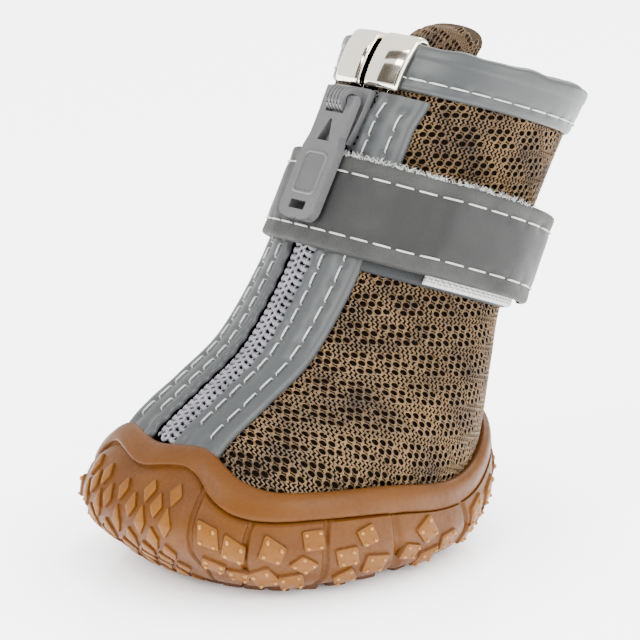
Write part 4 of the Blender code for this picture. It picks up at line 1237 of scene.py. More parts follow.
@dataclass
class MeshUpper:
    """The spacer mesh upper: a dark brown inner cloth, darkened near to black as painted shade for the
    holes, under an open net, left and right.
    """

    last: FootLast
    sole: CupSole
    throat: Throat
    knit: Knit
    wall: float = 0.0018
    inner_depth: float = 0.0007
    # Width and thickness
    heel_tape: tuple = (0.0072, 0.00042)
    heel_radius: float = 0.022
    heel_foot_level: float = 1.6
    cloth_size: tuple = (0.135, 0.100)
    foot_middle: float = 0.004
    zip_half: float = 0.0052
    heel_side: float = 0.03
    under_rim: float = 0.003
    under_binding: float = 0.0068

    def build(self, skins: dict) -> None:
        """Build the inner cloth and both nets.

        Args:
            skins: Materials by name.
        """
        shell = MeshWork()
        level = np.linspace(0.0, self.last.top, 90)[:, None]
        below = -self.last.level_climb_all(level[:, 0])
        start = self.throat.run()[0] + 0.004
        share = np.linspace(0.0, 1.0, 110)[None]
        for side in Side:
            gap = np.where(below < start, self.throat.edge(below), 0.0)[:, None]
            edge = np.maximum(self.last.angle_at(level, gap), 0.0)
            angle = edge + (math.pi - edge) * share
            flat = np.stack(np.broadcast_arrays(angle * 0.03, level * 0.01), axis=-1)
            outer = self.last.skin(level, angle * side.value, -self.inner_depth)
            inner = self.last.skin(level, angle * side.value, -self.wall)
            turn = slice(None, None, side.value)
            shell.surface(outer[:, turn], flat[:, turn])
            shell.surface(inner[:, turn][::-1], flat[:, turn][::-1])
            shell.surface(np.stack([outer[:, 0], inner[:, 0]], axis=1))
            shell.surface(np.stack([outer[-1], inner[-1]]))
        made = shell.make("upper_lining", [skins["inner_cloth"]])
        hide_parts("upper")
        for side in Side:
            self._build_net(skins, side)
        self._build_heel_tape(skins)

    def _build_heel_tape(self, skins: dict) -> None:
        """Build the flat tape that covers the seam at the heel.

        Args:
            skins: Materials by name.
        """
        work = MeshWork()
        wide, thick = self.heel_tape

        def place(along: Array, across: Array, lift: Array) -> Array:
            """Return points of the tape by distance below the collar.

            Args:
                along: Distances below the collar's edge.
                across: Distances across the piece.
                lift: Distances outside the surface.

            Returns:
                The points.
            """
            level = self.last.level_at(math.pi, along)
            angle = math.pi + (across - wide / 2) / self.heel_radius
            return self.last.skin(level, angle, lift - 0.0001)

        strip = StripShape(wide, thick, 0.0002)
        foot = -float(self.last.level_climb(self.heel_foot_level, np.array([math.pi]))[0])
        strip.lay(work, place, np.linspace(foot, 0.0070, 110), flip=True)
        made = work.make("heel_tape", [skins["base_cloth"]])

    def _build_net(self, skins: dict, side: Side) -> None:
        """Lay the net over one side.

        Args:
            skins: Materials by name.
            side: The side of the boot.
        """
        net, wales = MeshWork(), MeshWork()

        def place(ahead: Array, below: Array, lift: Array) -> Array:
            """Return points of the cloth."""
            return self.last.cloth(ahead, below, lift, side)

        def keep(ahead: Array, below: Array) -> Array:
            """Say where the cloth shows: below the binding, beside the zip and above the rim.

            Args:
                ahead: Distances from the heel seam.
                below: Distances below the collar's edge.

            Returns:
                Whether it shows.
            """
            point = place(ahead, below, np.zeros(ahead.shape))
            turn = np.arctan2(np.abs(point[:, 0]), -(point[:, 1] - self.foot_middle))
            rim = self.sole.rim_heights(turn)[0]
            beside_zip = (np.abs(point[:, 0]) > self.zip_half) | (point[:, 1] > self.heel_side)
            return (point[:, 2] > rim - self.under_rim) & beside_zip & (below > self.under_binding)

        self.knit.lay(net, wales, place, keep, self.cloth_size)
        for work, name, skin in ((net, "net", "net_yarn"), (wales, "wales", "wale_yarn")):
            made = work.make(f"{name}_{side.name.lower()}", [skins[skin], skins["inner_cloth"]])


@dataclass
class Tongue:
    """The padded tongue behind the zip, with the same net over the top that shows."""

    last: FootLast
    knit: Knit
    width: float = 0.036
    thickness: float = 0.0022
    length: float = 0.064
    above_collar: float = 0.0135
    round_off: float = 0.21
    lean_depth: float = 0.0085
    under: float = 0.0032
    hidden: float = 0.0024
    crown: float = 0.0007
    sag: float = 0.0022
    roll_width: float = 0.0022
    puff_width: float = 0.006
    net_height: float = 0.030
    net_inset: float = 0.0012
    net_lift: float = 0.0003

    def top_at(self, across: Array) -> Array:
        """Return how far the tongue stands above the collar, by share of its width."""
        edge = 1.0 - np.sqrt(np.maximum(1.0 - (2.0 * across - 1.0) ** 2 * 0.94, 0.0))
        return self.above_collar - self.sag - edge * self.width * self.round_off

    def place(self, aside: Array, above: Array, lift: Array) -> Array:
        """Return points by distance from the centre line, above the collar, and off the face.

        Args:
            aside: Distances from the centre line.
            above: Distances above the collar.
            lift: Distances outside the surface.

        Returns:
            The points.
        """
        aside, above, lift = np.broadcast_arrays(aside, above, lift)
        lean = np.maximum((above + self.length * 0.55) / (self.length * 0.55 + self.above_collar), 0.0)
        depth = self.under + self.hidden * np.minimum(lean * 1.6, 1.0) + self.lean_depth * lean * lean
        level = self.last.level_at(0.0, np.maximum(-above, 0.0))
        angle = self.last.angle_at(level, aside)
        upward, outward = self.last.directions(level, angle)
        rise = np.maximum(above, 0.0)[..., None]
        return self.last.point(level, angle) + upward * rise + outward * (lift - depth)[..., None]

    def build(self, skins: dict) -> None:
        """Build the padded body and the net over its top.

        Args:
            skins: Materials by name.
        """
        body = MeshWork()
        across = np.linspace(0.0, 1.0, 41)[None]
        along = np.linspace(0.0, 1.0, 70)[:, None]
        above = -self.length + (self.top_at(across) + self.length) * along
        aside = np.broadcast_to((across - 0.5) * self.width, above.shape)
        near_edge = np.minimum(np.minimum(across, 1.0 - across) * self.width,
                               (1.0 - along) * 0.05 + 0.0 * across)
        roll = 1.0 - smooth_step(near_edge, -0.0001, self.roll_width)
        puff = self.crown * smooth_step(near_edge, 0.0, self.puff_width)
        face = self.place(aside, above, puff - roll * self.thickness * 0.5)
        back = self.place(aside, above, -self.thickness - puff * 0.6 + roll * self.thickness * 0.45)
        flat = np.stack([aside, above], axis=-1)
        body.surface(face, flat)
        body.surface(back[::-1], flat[::-1])
        rim = [np.concatenate([half[:, 0], half[-1, 1:-1], half[::-1, -1], half[0, -2:0:-1]])
               for half in (back, face)]
        body.surface(np.stack(rim), round_columns=True)
        made = body.make("tongue_pad", [skins["edge_cloth"]])
        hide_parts("tongue")
        net, wales = MeshWork(), MeshWork()

        def place(ahead: Array, down: Array, lift: Array) -> Array:
            """Return points of the net over the tongue, wrapped over its rounded top.

            Args:
                ahead: Distances from the net's left edge.
                down: Distances below its top.
                lift: Distances outside the surface.

            Returns:
                The points.
            """
            side = ahead - self.width / 2
            share = np.clip(ahead / self.width, 0.0, 1.0)
            above = self.top_at(share) - self.net_inset - down
            edge = np.minimum(np.minimum(share, 1.0 - share) * self.width, down + self.net_inset)
            rolled = 1.0 - smooth_step(edge, -0.0001, self.roll_width)
            puffed = self.crown * smooth_step(edge, 0.0, self.puff_width)
            return self.place(side, above, puffed - rolled * self.thickness * 0.5 + self.net_lift + lift)

        def keep(ahead: Array, down: Array) -> Array:
            """Say where the net lies: within the edges."""
            return (ahead > 0.0006) & (ahead < self.width - 0.0006) & (down > -0.001)

        self.knit.lay(net, wales, place, keep, (self.width, self.net_height))
        for work, name, skin in ((net, "tongue_net", "net_yarn"), (wales, "tongue_wales", "wale_yarn")):
            made = work.make(name, [skins[skin], skins["inner_cloth"]])


@dataclass
class StripShape:
    """A flat strip with rolled edges, laid by a place function."""

    width: float
    thickness: float
    edge: float = 0.0006

    def section(self, count: int = 23) -> tuple[Array, Array]:
        """Return the strip's section: distances across and heights above its underside.

        Args:
            count: Number of points across the top.

        Returns:
            The distances and the heights.
        """
        spread = 0.5 - 0.5 * np.cos(np.linspace(0.0, math.pi, count))
        across = np.concatenate([[0.0], spread, [1.0]]) * self.width
        near = np.minimum(across, self.width - across)
        height = self.thickness * np.sqrt(1.0 - (1.0 - np.minimum(near / self.edge, 1.0)) ** 2)
        height[0] = height[-1] = -0.0001
        return across, height

    def lay(self, work: MeshWork, place: Place, along: Array, relief: Place | None = None,
            slot: int = 0, flip: bool = False) -> None:
        """Lay the strip.

        Args:
            work: Mesh that gets the strip.
            place: Gives points by distances along, across and height.
            along: Distances of the stations along the strip.
            relief: Gives a change of height by distances along and across.
            slot: Number of the material.
            flip: Whether the faces turn the other way.
        """
        across, height = self.section()
        run, side = np.meshgrid(along, across, indexing="ij")
        lift = np.broadcast_to(height, run.shape).copy()
        end = np.minimum(run - along[0], along[-1] - run)
        lift = lift * np.sqrt(1.0 - (1.0 - np.minimum(np.abs(end) / self.edge, 1.0)) ** 2)
        if relief is not None:
            lift = lift + relief(run, side) * (lift > self.thickness * 0.5)
        grid = place(run, side, lift)
        flat = np.stack([run, side], axis=-1)
        work.surface(grid[::-1] if flip else grid, flat[::-1] if flip else flat, slot)


def stitch_dips(along: Array, across: Array, row: float, start: float, pitch: float, length: float,
                depth: float) -> Array:
    """Return how deep the thread pulls the material down along a row of stitches.

    Args:
        along: Distances along the piece.
        across: Distances across the piece.
        row: Place of the row across the piece.
        start: Start of the first stitch.
        pitch: Distance from stitch to stitch.
        length: Length of a stitch.
        depth: Depth at the needle holes.

    Returns:
        Changes of height, negative inwards.
    """
    phase = np.mod(along - start, pitch)
    hole = np.minimum(np.abs(phase), np.minimum(np.abs(phase - length), np.abs(phase - pitch)))
    near = np.exp(-((across - row) / 0.0009) ** 2)
    return -depth * near * (0.45 + 0.55 * np.exp(-(hole / 0.0007) ** 2))


@dataclass
class Placket:
    """A leather strip beside the zip with two rows of white stitches."""

    last: FootLast
    sole: CupSole
    throat: Throat
    side: Side
    width: float = 0.0105
    thickness: float = 0.0012
    # Distance from the inner edge, stitch length and pitch of each row
    rows: tuple = ((0.0026, 0.0034, 0.0038), (0.0070, 0.0038, 0.0043))
    thread: float = 0.00020
    edge_round: float = 0.0011
    stand_off: float = 0.0005
    tuck: float = 0.0012
    foot_level: float = 4.0
    pucker: tuple = (0.00022, 0.0012)
    swell: tuple = (0.00012, 0.0038, 0.0015)
    dip: float = 0.00058

    def place(self, along: Array, across: Array, lift: Array) -> Array:
        """Return points by distance below the collar, distance from the inner edge, and height.

        Args:
            along: Distances along the piece.
            across: Distances across the piece.
            lift: Distances outside the surface.

        Returns:
            The points.
        """
        along, across, lift = np.broadcast_arrays(along, across, lift)
        along = self._stretch(along, across)
        high, fade = self.pucker
        pucker = high * np.sin(along * 2 * math.pi / self.rows[0][2]) * np.exp(-across / fade)
        aside = self.throat.edge(along) - self.throat.gap + across + pucker
        level = self.last.level_at(0.0, along)
        angle = self.last.angle_at(level, aside) * self.side.value
        return self.last.skin(level, angle, lift + self.stand_off)

    def _stretch(self, along: Array, across: Array) -> Array:
        """Stretch distances below the collar so that the strip's foot follows the rim.

        Args:
            along: Distances along the piece.
            across: Distances across the piece.

        Returns:
            The stretched distances.
        """
        top = self.throat.clip_height + 2 * self.throat.gap
        start = self.throat.run()[0]
        samples = np.linspace(0.0, self.width, 12)
        angle = self.last.angle_at(self.foot_level, self.throat.edge(start) + samples)
        level = self.last.level_at_height(angle, self.sole.rim_heights(angle)[0] - self.tuck)
        foot = np.interp(across, samples, -self.last.level_climb_all(level))
        return top + (along - top) * (foot - top) / (start - top)

    def relief(self, along: Array, across: Array) -> Array:
        """Return the leather's soft swell and the dips at its stitches.

        Args:
            along: Distances along the piece.
            across: Distances across the piece.

        Returns:
            Changes of height.
        """
        high, wave, fade = self.swell
        swell = high * np.sin(along * 2 * math.pi / wave) * np.exp(-across / fade)
        for row, length, pitch in self.rows:
            swell = swell + stitch_dips(along, across, row, 0.0, pitch, length, self.dip)
        return swell

    def build(self, skins: dict) -> None:
        """Build the strip and its stitches.

        Args:
            skins: Materials by name.
        """
        work = MeshWork()
        start, _ = self.throat.run()
        end = self.throat.clip_height + 2 * self.throat.gap
        along = np.linspace(start, end, 190)
        strip = StripShape(self.width, self.thickness, self.edge_round)
        strip.lay(work, self.place, along, self.relief, flip=self.side is Side.RIGHT)
        name = f"placket_{self.side.name.lower()}"
        made = work.make(f"{name}_leather", [skins["satin_leather"]])
        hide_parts(name)
        thread = MeshWork()
        for row, length, pitch in self.rows:
            starts = np.arange(end + 0.0006, start - length, pitch)
            starts = starts - np.mod(starts[0], pitch)
            starts = starts[starts > end + 0.0002]
            paths = stitch_paths(self.place, starts, length, row, self.thickness + 0.00002)
            thread.tubes(paths, self.thread * STITCH_TAPER)
        made = thread.make(f"{name}_stitches", [skins["white_thread"]])


@dataclass
class ZipFastener:
    """The zip: dark tapes, a braided chain below the slider and open coils above it."""

    last: FootLast
    throat: Throat
    tape_width: float = 0.007
    tape_thickness: float = 0.0005
    tape_depth: float = 0.0028
    crown: float = 0.0008
    rib_pitch: float = 0.00150
    rib_radius: float = 0.00054
    rib_inset: float = 0.00035
    rib_bend: float = 0.00055
    rib_shift: float = 0.0004
    rib_slope: float = 0.00035
    rib_drop: float = 0.00072
    rib_shoulder: float = 0.55
    rib_fall: float = 0.0015
    braid_depth: float = 0.0003
    knot_radius: float = 0.00034
    # Shift along the chain, place across it at each end
    knot_rows: tuple = ((0.0, 0.0001, 0.00095), (0.00075, 0.00075, -0.0001))
    knot_length: float = 0.00105
    knot_drop: float = 0.00035
    knot_crown: float = 0.00016
    thread_across: float = 0.00205
    thread_radius: float = 0.00021
    thread_length: float = 0.0009
    thread_drop: float = 0.00045
    thread_crown: float = 0.00018
    cord_radius: float = 0.00032
    cord_sway: float = 0.00008
    cord_depth: float = 0.0006
    loop_middle: float = 0.0016
    loop_half: tuple = (0.00045, 0.0010)
    loop_radius: float = 0.00017
    core_thickness: float = 0.0019
    core_depth: float = 0.0021

    def build(self, skins: dict) -> None:
        """Build the tapes and both halves of the chain.

        Args:
            skins: Materials by name.
        """
        start, end = self.throat.run()
        closed = self.throat.slider_below + self.throat.slider_length / 2
        for side in Side:
            name = side.name.lower()
            tape = MeshWork()

            def on_tape(along: Array, across: Array, lift: Array, hand: int = side.value) -> Array:
                """Return points of the tape."""
                aside = hand * (self.throat.gap + self.throat.spread(along) + across)
                return self.last.front(along, aside, lift - self.tape_depth)

            strip = StripShape(self.tape_width, self.tape_thickness, 0.0002)
            strip.lay(tape, on_tape, np.linspace(start, end, 60), flip=side is Side.RIGHT)
            made = tape.make(f"zip_tape_{name}_cloth", [skins["zip_tape"]])
            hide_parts(f"zip_tape_{name}")
            self._build_chain(skins, side, start, closed, end)

    def _build_chain(self, skins: dict, side: Side, start: float, closed: float, end: float) -> None:
        """Build one half of the chain: ribs, braid threads, knots and the open coil.

        Args:
            skins: Materials by name.
            side: The side of the boot.
            start: Distance of the zip's foot below the collar.
            closed: Distance at which the slider closes the chain.
            end: Distance of the zip's upper end.
        """
        chain = MeshWork()

        def on_chain(along: Array, across: Array, lift: Array) -> Array:
            """Return points of this half of the chain."""
            aside = side.value * (self.throat.gap / 2 + self.throat.spread(along) + across)
            return self.last.front(along, aside, lift)

        share = np.linspace(0.0, 1.0, 11)
        spots = np.arange(closed, start, self.rib_pitch)
        across = self.rib_inset + share * (self.throat.coil_width + 0.0001)
        bend = self.rib_bend * np.sin(share * math.pi) * side.value
        along = spots[:, None] + self.rib_shift * side.value + bend[None] + self.rib_slope * share[None]
        fall = self.rib_fall * np.maximum(share - self.rib_shoulder, 0.0) ** 2 / 0.2
        height = self.crown - self.rib_drop - fall
        ribs = on_chain(along, across, height)
        width = self.rib_radius * np.sqrt(np.clip(1.02 - (2 * share - 1) ** 4, 0.05, 1.0))
        chain.tubes(ribs, width, sides=8)
        between = spots[:, None] + self.rib_pitch / 2 + 0.0003 * side.value + 0.3 * bend[None]
        low = on_chain(between, across * 0.9, height - self.braid_depth)
        chain.tubes(low, width * 0.45, sides=6)
        self._add_knots(chain, on_chain, spots)
        edge = np.linspace(closed, start, 130)
        sway = self.cord_sway * np.sin(edge * 2 * math.pi / self.rib_pitch)
        cord = on_chain(edge, self.throat.coil_width - 0.0001 + sway, -self.cord_depth)
        chain.tubes(cord[None], self.cord_radius, sides=6)
        upper_spots = np.arange(end + 0.0004, closed, self.rib_pitch * 0.8)
        loop = np.linspace(0.0, 2 * math.pi, 13)
        along = upper_spots[:, None] + self.loop_half[0] * np.sin(loop)[None]
        aside = self.loop_middle + self.loop_half[1] * np.cos(loop)[None]
        chain.tubes(on_chain(along, aside, 0.0001), self.loop_radius, sides=6)
        core = MeshWork()
        strip = StripShape(self.throat.coil_width - 0.0002, self.core_thickness)

        def on_core(along: Array, across: Array, lift: Array) -> Array:
            """Return points of the dark core under the braid."""
            return on_chain(along, across + 0.0001, lift - self.core_depth)

        strip.lay(core, on_core, np.linspace(start, end, 90), flip=side is Side.RIGHT)
        name = f"zip_coil_{side.name.lower()}"
        made = chain.make(f"{name}_braid", [skins["zip_braid"]])
        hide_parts(name)
        made = core.make(f"{name}_core", [skins["zip_tape"]])

    def _add_knots(self, chain: MeshWork, on_chain: Place, spots: Array) -> None:
        """Add the knotted threads along the chain's middle and the thread over its ribs.

        Args:
            chain: Mesh that gets the threads.
            on_chain: Gives points of this half of the chain.
            spots: Distances of the ribs below the collar.
        """
        share = np.linspace(0.0, 1.0, 7)
        for shift, across_from, across_to in self.knot_rows:
            along = spots[:, None] + shift + share[None] * self.knot_length
            across = across_from + (across_to - across_from) * share
            lift = self.crown - self.knot_drop + self.knot_crown * np.sin(share * math.pi)
            path = on_chain(along, across, lift)
            chain.tubes(path, self.knot_radius * np.array([0.4, 0.85, 1, 1, 1, 0.85, 0.4]), sides=6)
        along = spots[:, None] + share[None] * self.thread_length + 0.0002
        lift = self.crown - self.thread_drop + self.thread_crown * np.sin(share * math.pi)
        path = on_chain(along, self.thread_across, lift)
        chain.tubes(path, self.thread_radius * np.array([0.3, 0.8, 1, 1, 1, 0.8, 0.3]), sides=5)


@dataclass
class SliderAndPull:
    """The slider with its ribbed bridge and the hinged pull with its recessed, bare panel."""

    pivot: tuple = (0.0, 0.01476, 0.087507)
    down: tuple = (0.0, -0.479, -0.8778)
    outward: tuple = (0.0, -0.8778, 0.479)
    thickness: float = 0.002
    panel: tuple = (0.0112, 0.0202)
    panel_half: float = 0.0034
    panel_round: float = 0.0016
    panel_rim: tuple = (
        (1.0, -0.00005), (0.975, 0.00022), (0.93, 0.00032), (0.885, 0.00028), (0.86, 0.00002))
    rib_count: int = 5
    rib_radius: float = 0.00022
    bridge_radius: float = 0.00255
    bridge_half: float = 0.0023

    def build(self, skins: dict) -> None:
        """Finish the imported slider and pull, and add the panel's rim and the bridge's ribs.

        Args:
            skins: Materials by name.
        """
        for name, bevel in (("zip_slider", 0.00035), ("pull_tab", 0.00030)):
            node = bpy.data.objects[name]
            node.data.materials.clear()
            node.data.materials.append(skins["enamel"])
            soft = node.modifiers.new("SoftEdge", "BEVEL")
            soft.width = bevel
            soft.segments = 3
            soft.limit_method = "ANGLE"
            soft.angle_limit = math.radians(38)
            soft.harden_normals = True
        self._build_panel(skins)
        self._build_ribs(skins)

    def at(self, down: Array, aside: Array, out: Array) -> Array:
        """Return points by distance down the pull, to its side and off its middle plane.

        Args:
            down: Distances down the pull from its pivot.
            aside: Distances towards +X.
            out: Distances off its middle plane.

        Returns:
            The points.
        """
        down, aside, out = np.broadcast_arrays(down, aside, out)
        point = np.array(self.pivot) + down[..., None] * self.down + out[..., None] * self.outward
        return point + aside[..., None] * (1.0, 0.0, 0.0)

    def _build_panel(self, skins: dict) -> None:
        """Build the recessed panel as a rounded rim around a slightly rougher floor.

        Args:
            skins: Materials by name.
        """
        half = self.panel_half
        top, foot = self.panel
        corners = [(top, -half), (foot, -half), (foot, half), (top, half)]
        outline = rounded_outline(corners, self.panel_round, 7)
        middle = outline.mean(axis=0)
        work = MeshWork()
        rings = []
        for share, lift in self.panel_rim:
            flat = middle + (outline - middle) * share
            rings.append(self.at(flat[:, 0], flat[:, 1], self.thickness / 2 + lift))
        work.surface(np.stack(rings), round_columns=True, slot=0)
        centre = np.broadcast_to(middle, outline.shape)
        floor = [rings[-1], self.at(centre[:, 0], centre[:, 1], self.thickness / 2 + self.panel_rim[-1][1])]
        work.surface(np.stack(floor), round_columns=True, slot=1)
        made = work.make("pull_panel", [skins["enamel"], skins["enamel_floor"]], "pull")

    def _build_ribs(self, skins: dict) -> None:
        """Build the ribs over the bridge's barrel.

        Args:
            skins: Materials by name.
        """
        work = MeshWork()
        turn = np.linspace(0.05, 0.95, 13) * math.pi
        down, out = np.cos(turn) * self.bridge_radius, np.sin(turn) * self.bridge_radius
        paths = []
        for rib in range(self.rib_count):
            aside = self.bridge_half * (-0.84 + 1.68 * rib / (self.rib_count - 1))
            paths.append(self.at(down, aside, out))
        work.tubes(np.stack(paths), self.rib_radius, sides=6)
        made = work.make("bridge_ribs", [skins["enamel"]])


@dataclass
class CollarEdge:
    """The collar: its leather binding with a stitch line, and the two folded metal clips."""

    last: FootLast
    gap: float = 0.0003
    wall: float = 0.0018
    height: float = 0.0084
    thickness: float = 0.0011
    # Width, height and thickness
    clip: tuple = (0.0082, 0.0092, 0.0007)
    clip_from_middle: float = 0.0008
    clip_pillow: float = 0.00045
    clip_edge: tuple = (0.0006, 0.0007, 0.0010)
    # Distance below the collar, stitch length and pitch
    stitch: tuple = (0.0060, 0.0037, 0.0042)
    thread: float = 0.00019
    dip: float = 0.00030
    waves: tuple = ((0.00016, 0.013), (0.00008, 0.0071))
    lip: tuple = (0.00022, 0.0012, 0.0017)

    def fold(self, outer: float, inner: float, crest: float, height: float, inside: float,
             pillow: float) -> tuple[Array, Array]:
        """Return a fold's section from its outer edge over the collar to its inner edge.

        Args:
            outer: Lift of the outer face.
            inner: Lift of the inner face.
            crest: Height of the fold over the collar's edge.
            height: How far the outer face reaches down.
            inside: How far the inner face reaches down.
            pillow: Swell of the outer face's middle.

        Returns:
            Heights above the collar's edge, and lifts.
        """
        down = np.linspace(0.0, 1.0, 22)
        above = -height * (1.0 - down)
        lift = outer + pillow * np.sin(np.pi * down) ** 0.8
        round_off = 0.0005 * np.exp(-down * height / 0.00035)
        turn = np.linspace(0.0, math.pi, 13)[1:-1]
        middle, half = (outer + inner) / 2, (outer - inner) / 2
        over = crest * signed_power(np.sin(turn), 0.7)
        arch = middle + half * signed_power(np.cos(turn), 0.8)
        back = np.linspace(0.0, -inside, 8)
        return (np.concatenate([above[:1], above, over, back]),
                np.concatenate([[outer - 0.0009], lift - round_off, arch, np.full(8, inner)]))

    def build(self, skins: dict) -> None:
        """Build the binding, its stitches and both clips.

        Args:
            skins: Materials by name.
        """
        work = MeshWork()
        row, length, pitch = self.stitch
        outer = self.gap + self.thickness
        above, lift = self.fold(outer, -self.wall - outer, outer, self.height, self.height * 0.8, 0.00012)
        edge = float(self.last.angle_at(self.last.top, self.clip_from_middle + self.clip[2]))
        angles = np.linspace(edge, 2 * math.pi - edge, 400)
        girth = self._distance(angles)
        wave = sum(high * np.sin(girth * 2 * math.pi / long) for high, long in self.waves)
        lip = self.lip[0] * smooth_step(-above, *self.lip[1:]) * (lift > 0)
        dips = stitch_dips(girth[:, None], -above[None], row, 0.0, pitch, length, self.dip)
        dips = dips * (lift > 0)[None]
        heights = above[None] + wave[:, None] * (above > -0.0004)[None]
        lifts = lift[None] - lip[None] + dips
        body = self.last.collar(angles[:, None], heights, lifts)
        work.surface(body[::-1], np.stack(np.broadcast_arrays(girth[::-1, None], above[None]), axis=-1))
        made = work.make("collar_leather", [skins["satin_leather"]])
        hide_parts("collar_binding")
        thread = MeshWork()

        def on_row(along: Array, across: Array, rise: Array) -> Array:
            """Return points of the stitch line by distance round the collar."""
            angle = np.interp(along, girth, angles)
            return self.last.collar(angle, -across, outer - 0.0002 + rise)

        starts = np.arange(pitch, girth[-1] - pitch, pitch)
        paths = stitch_paths(on_row, starts, length, row, 0.00015)
        thread.tubes(paths, self.thread * STITCH_TAPER)
        made = thread.make("collar_stitches", [skins["white_thread"]])
        for side in Side:
            self._build_clip(skins, side)

    def _distance(self, angles: Array) -> Array:
        """Return distances along the collar's edge."""
        points = self.last.point(self.last.top, angles)
        return np.concatenate([[0.0], np.cumsum(np.linalg.norm(np.diff(points, axis=0), axis=1))])

    def _build_clip(self, skins: dict, side: Side) -> None:
        """Build one clip: a pillowed plate with rolled edges, folded over the collar.

        Args:
            skins: Materials by name.
            side: The side of the boot.
        """
        width, height, thickness = self.clip
        clear = self.thickness + 2 * self.gap
        outer = clear + thickness
        above, lift = self.fold(outer, -self.wall - outer, outer + self.gap, height, height * 0.9,
                                self.clip_pillow)
        across = np.concatenate([[0.0], 0.5 - 0.5 * np.cos(np.linspace(0.0, math.pi, 33)), [1.0]])
        near = np.minimum(across, 1.0 - across) * width
        depth, reach, end = self.clip_edge
        roll = depth * (1.0 - np.sqrt(1.0 - (1.0 - np.minimum(near / reach, 1.0)) ** 2))
        roll[0] = roll[-1] = end
        swell = self.clip_pillow * (1.0 - (2 * across - 1) ** 2)
        centre = (outer - self.wall - outer) / 2
        outward = np.sign(lift - centre)
        raised = swell[:, None] * ((above < 0) & (lift > 0))[None]
        lifts = lift[None] + (raised - roll[:, None]) * outward[None]
        heights = above[None] - np.where(above > 0, 1.0, 0.0)[None] * roll[:, None]
        aside = self.clip_from_middle + across * width
        angles = self.last.angle_at(self.last.top, aside) * side.value
        grid = self.last.collar(angles[:, None], heights, lifts)
        work = MeshWork()
        work.surface(grid[::-side.value])
        name = f"clip_{side.name.lower()}"
        made = work.make(f"{name}_plate", [skins["polished_nickel"]])
        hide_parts(name)


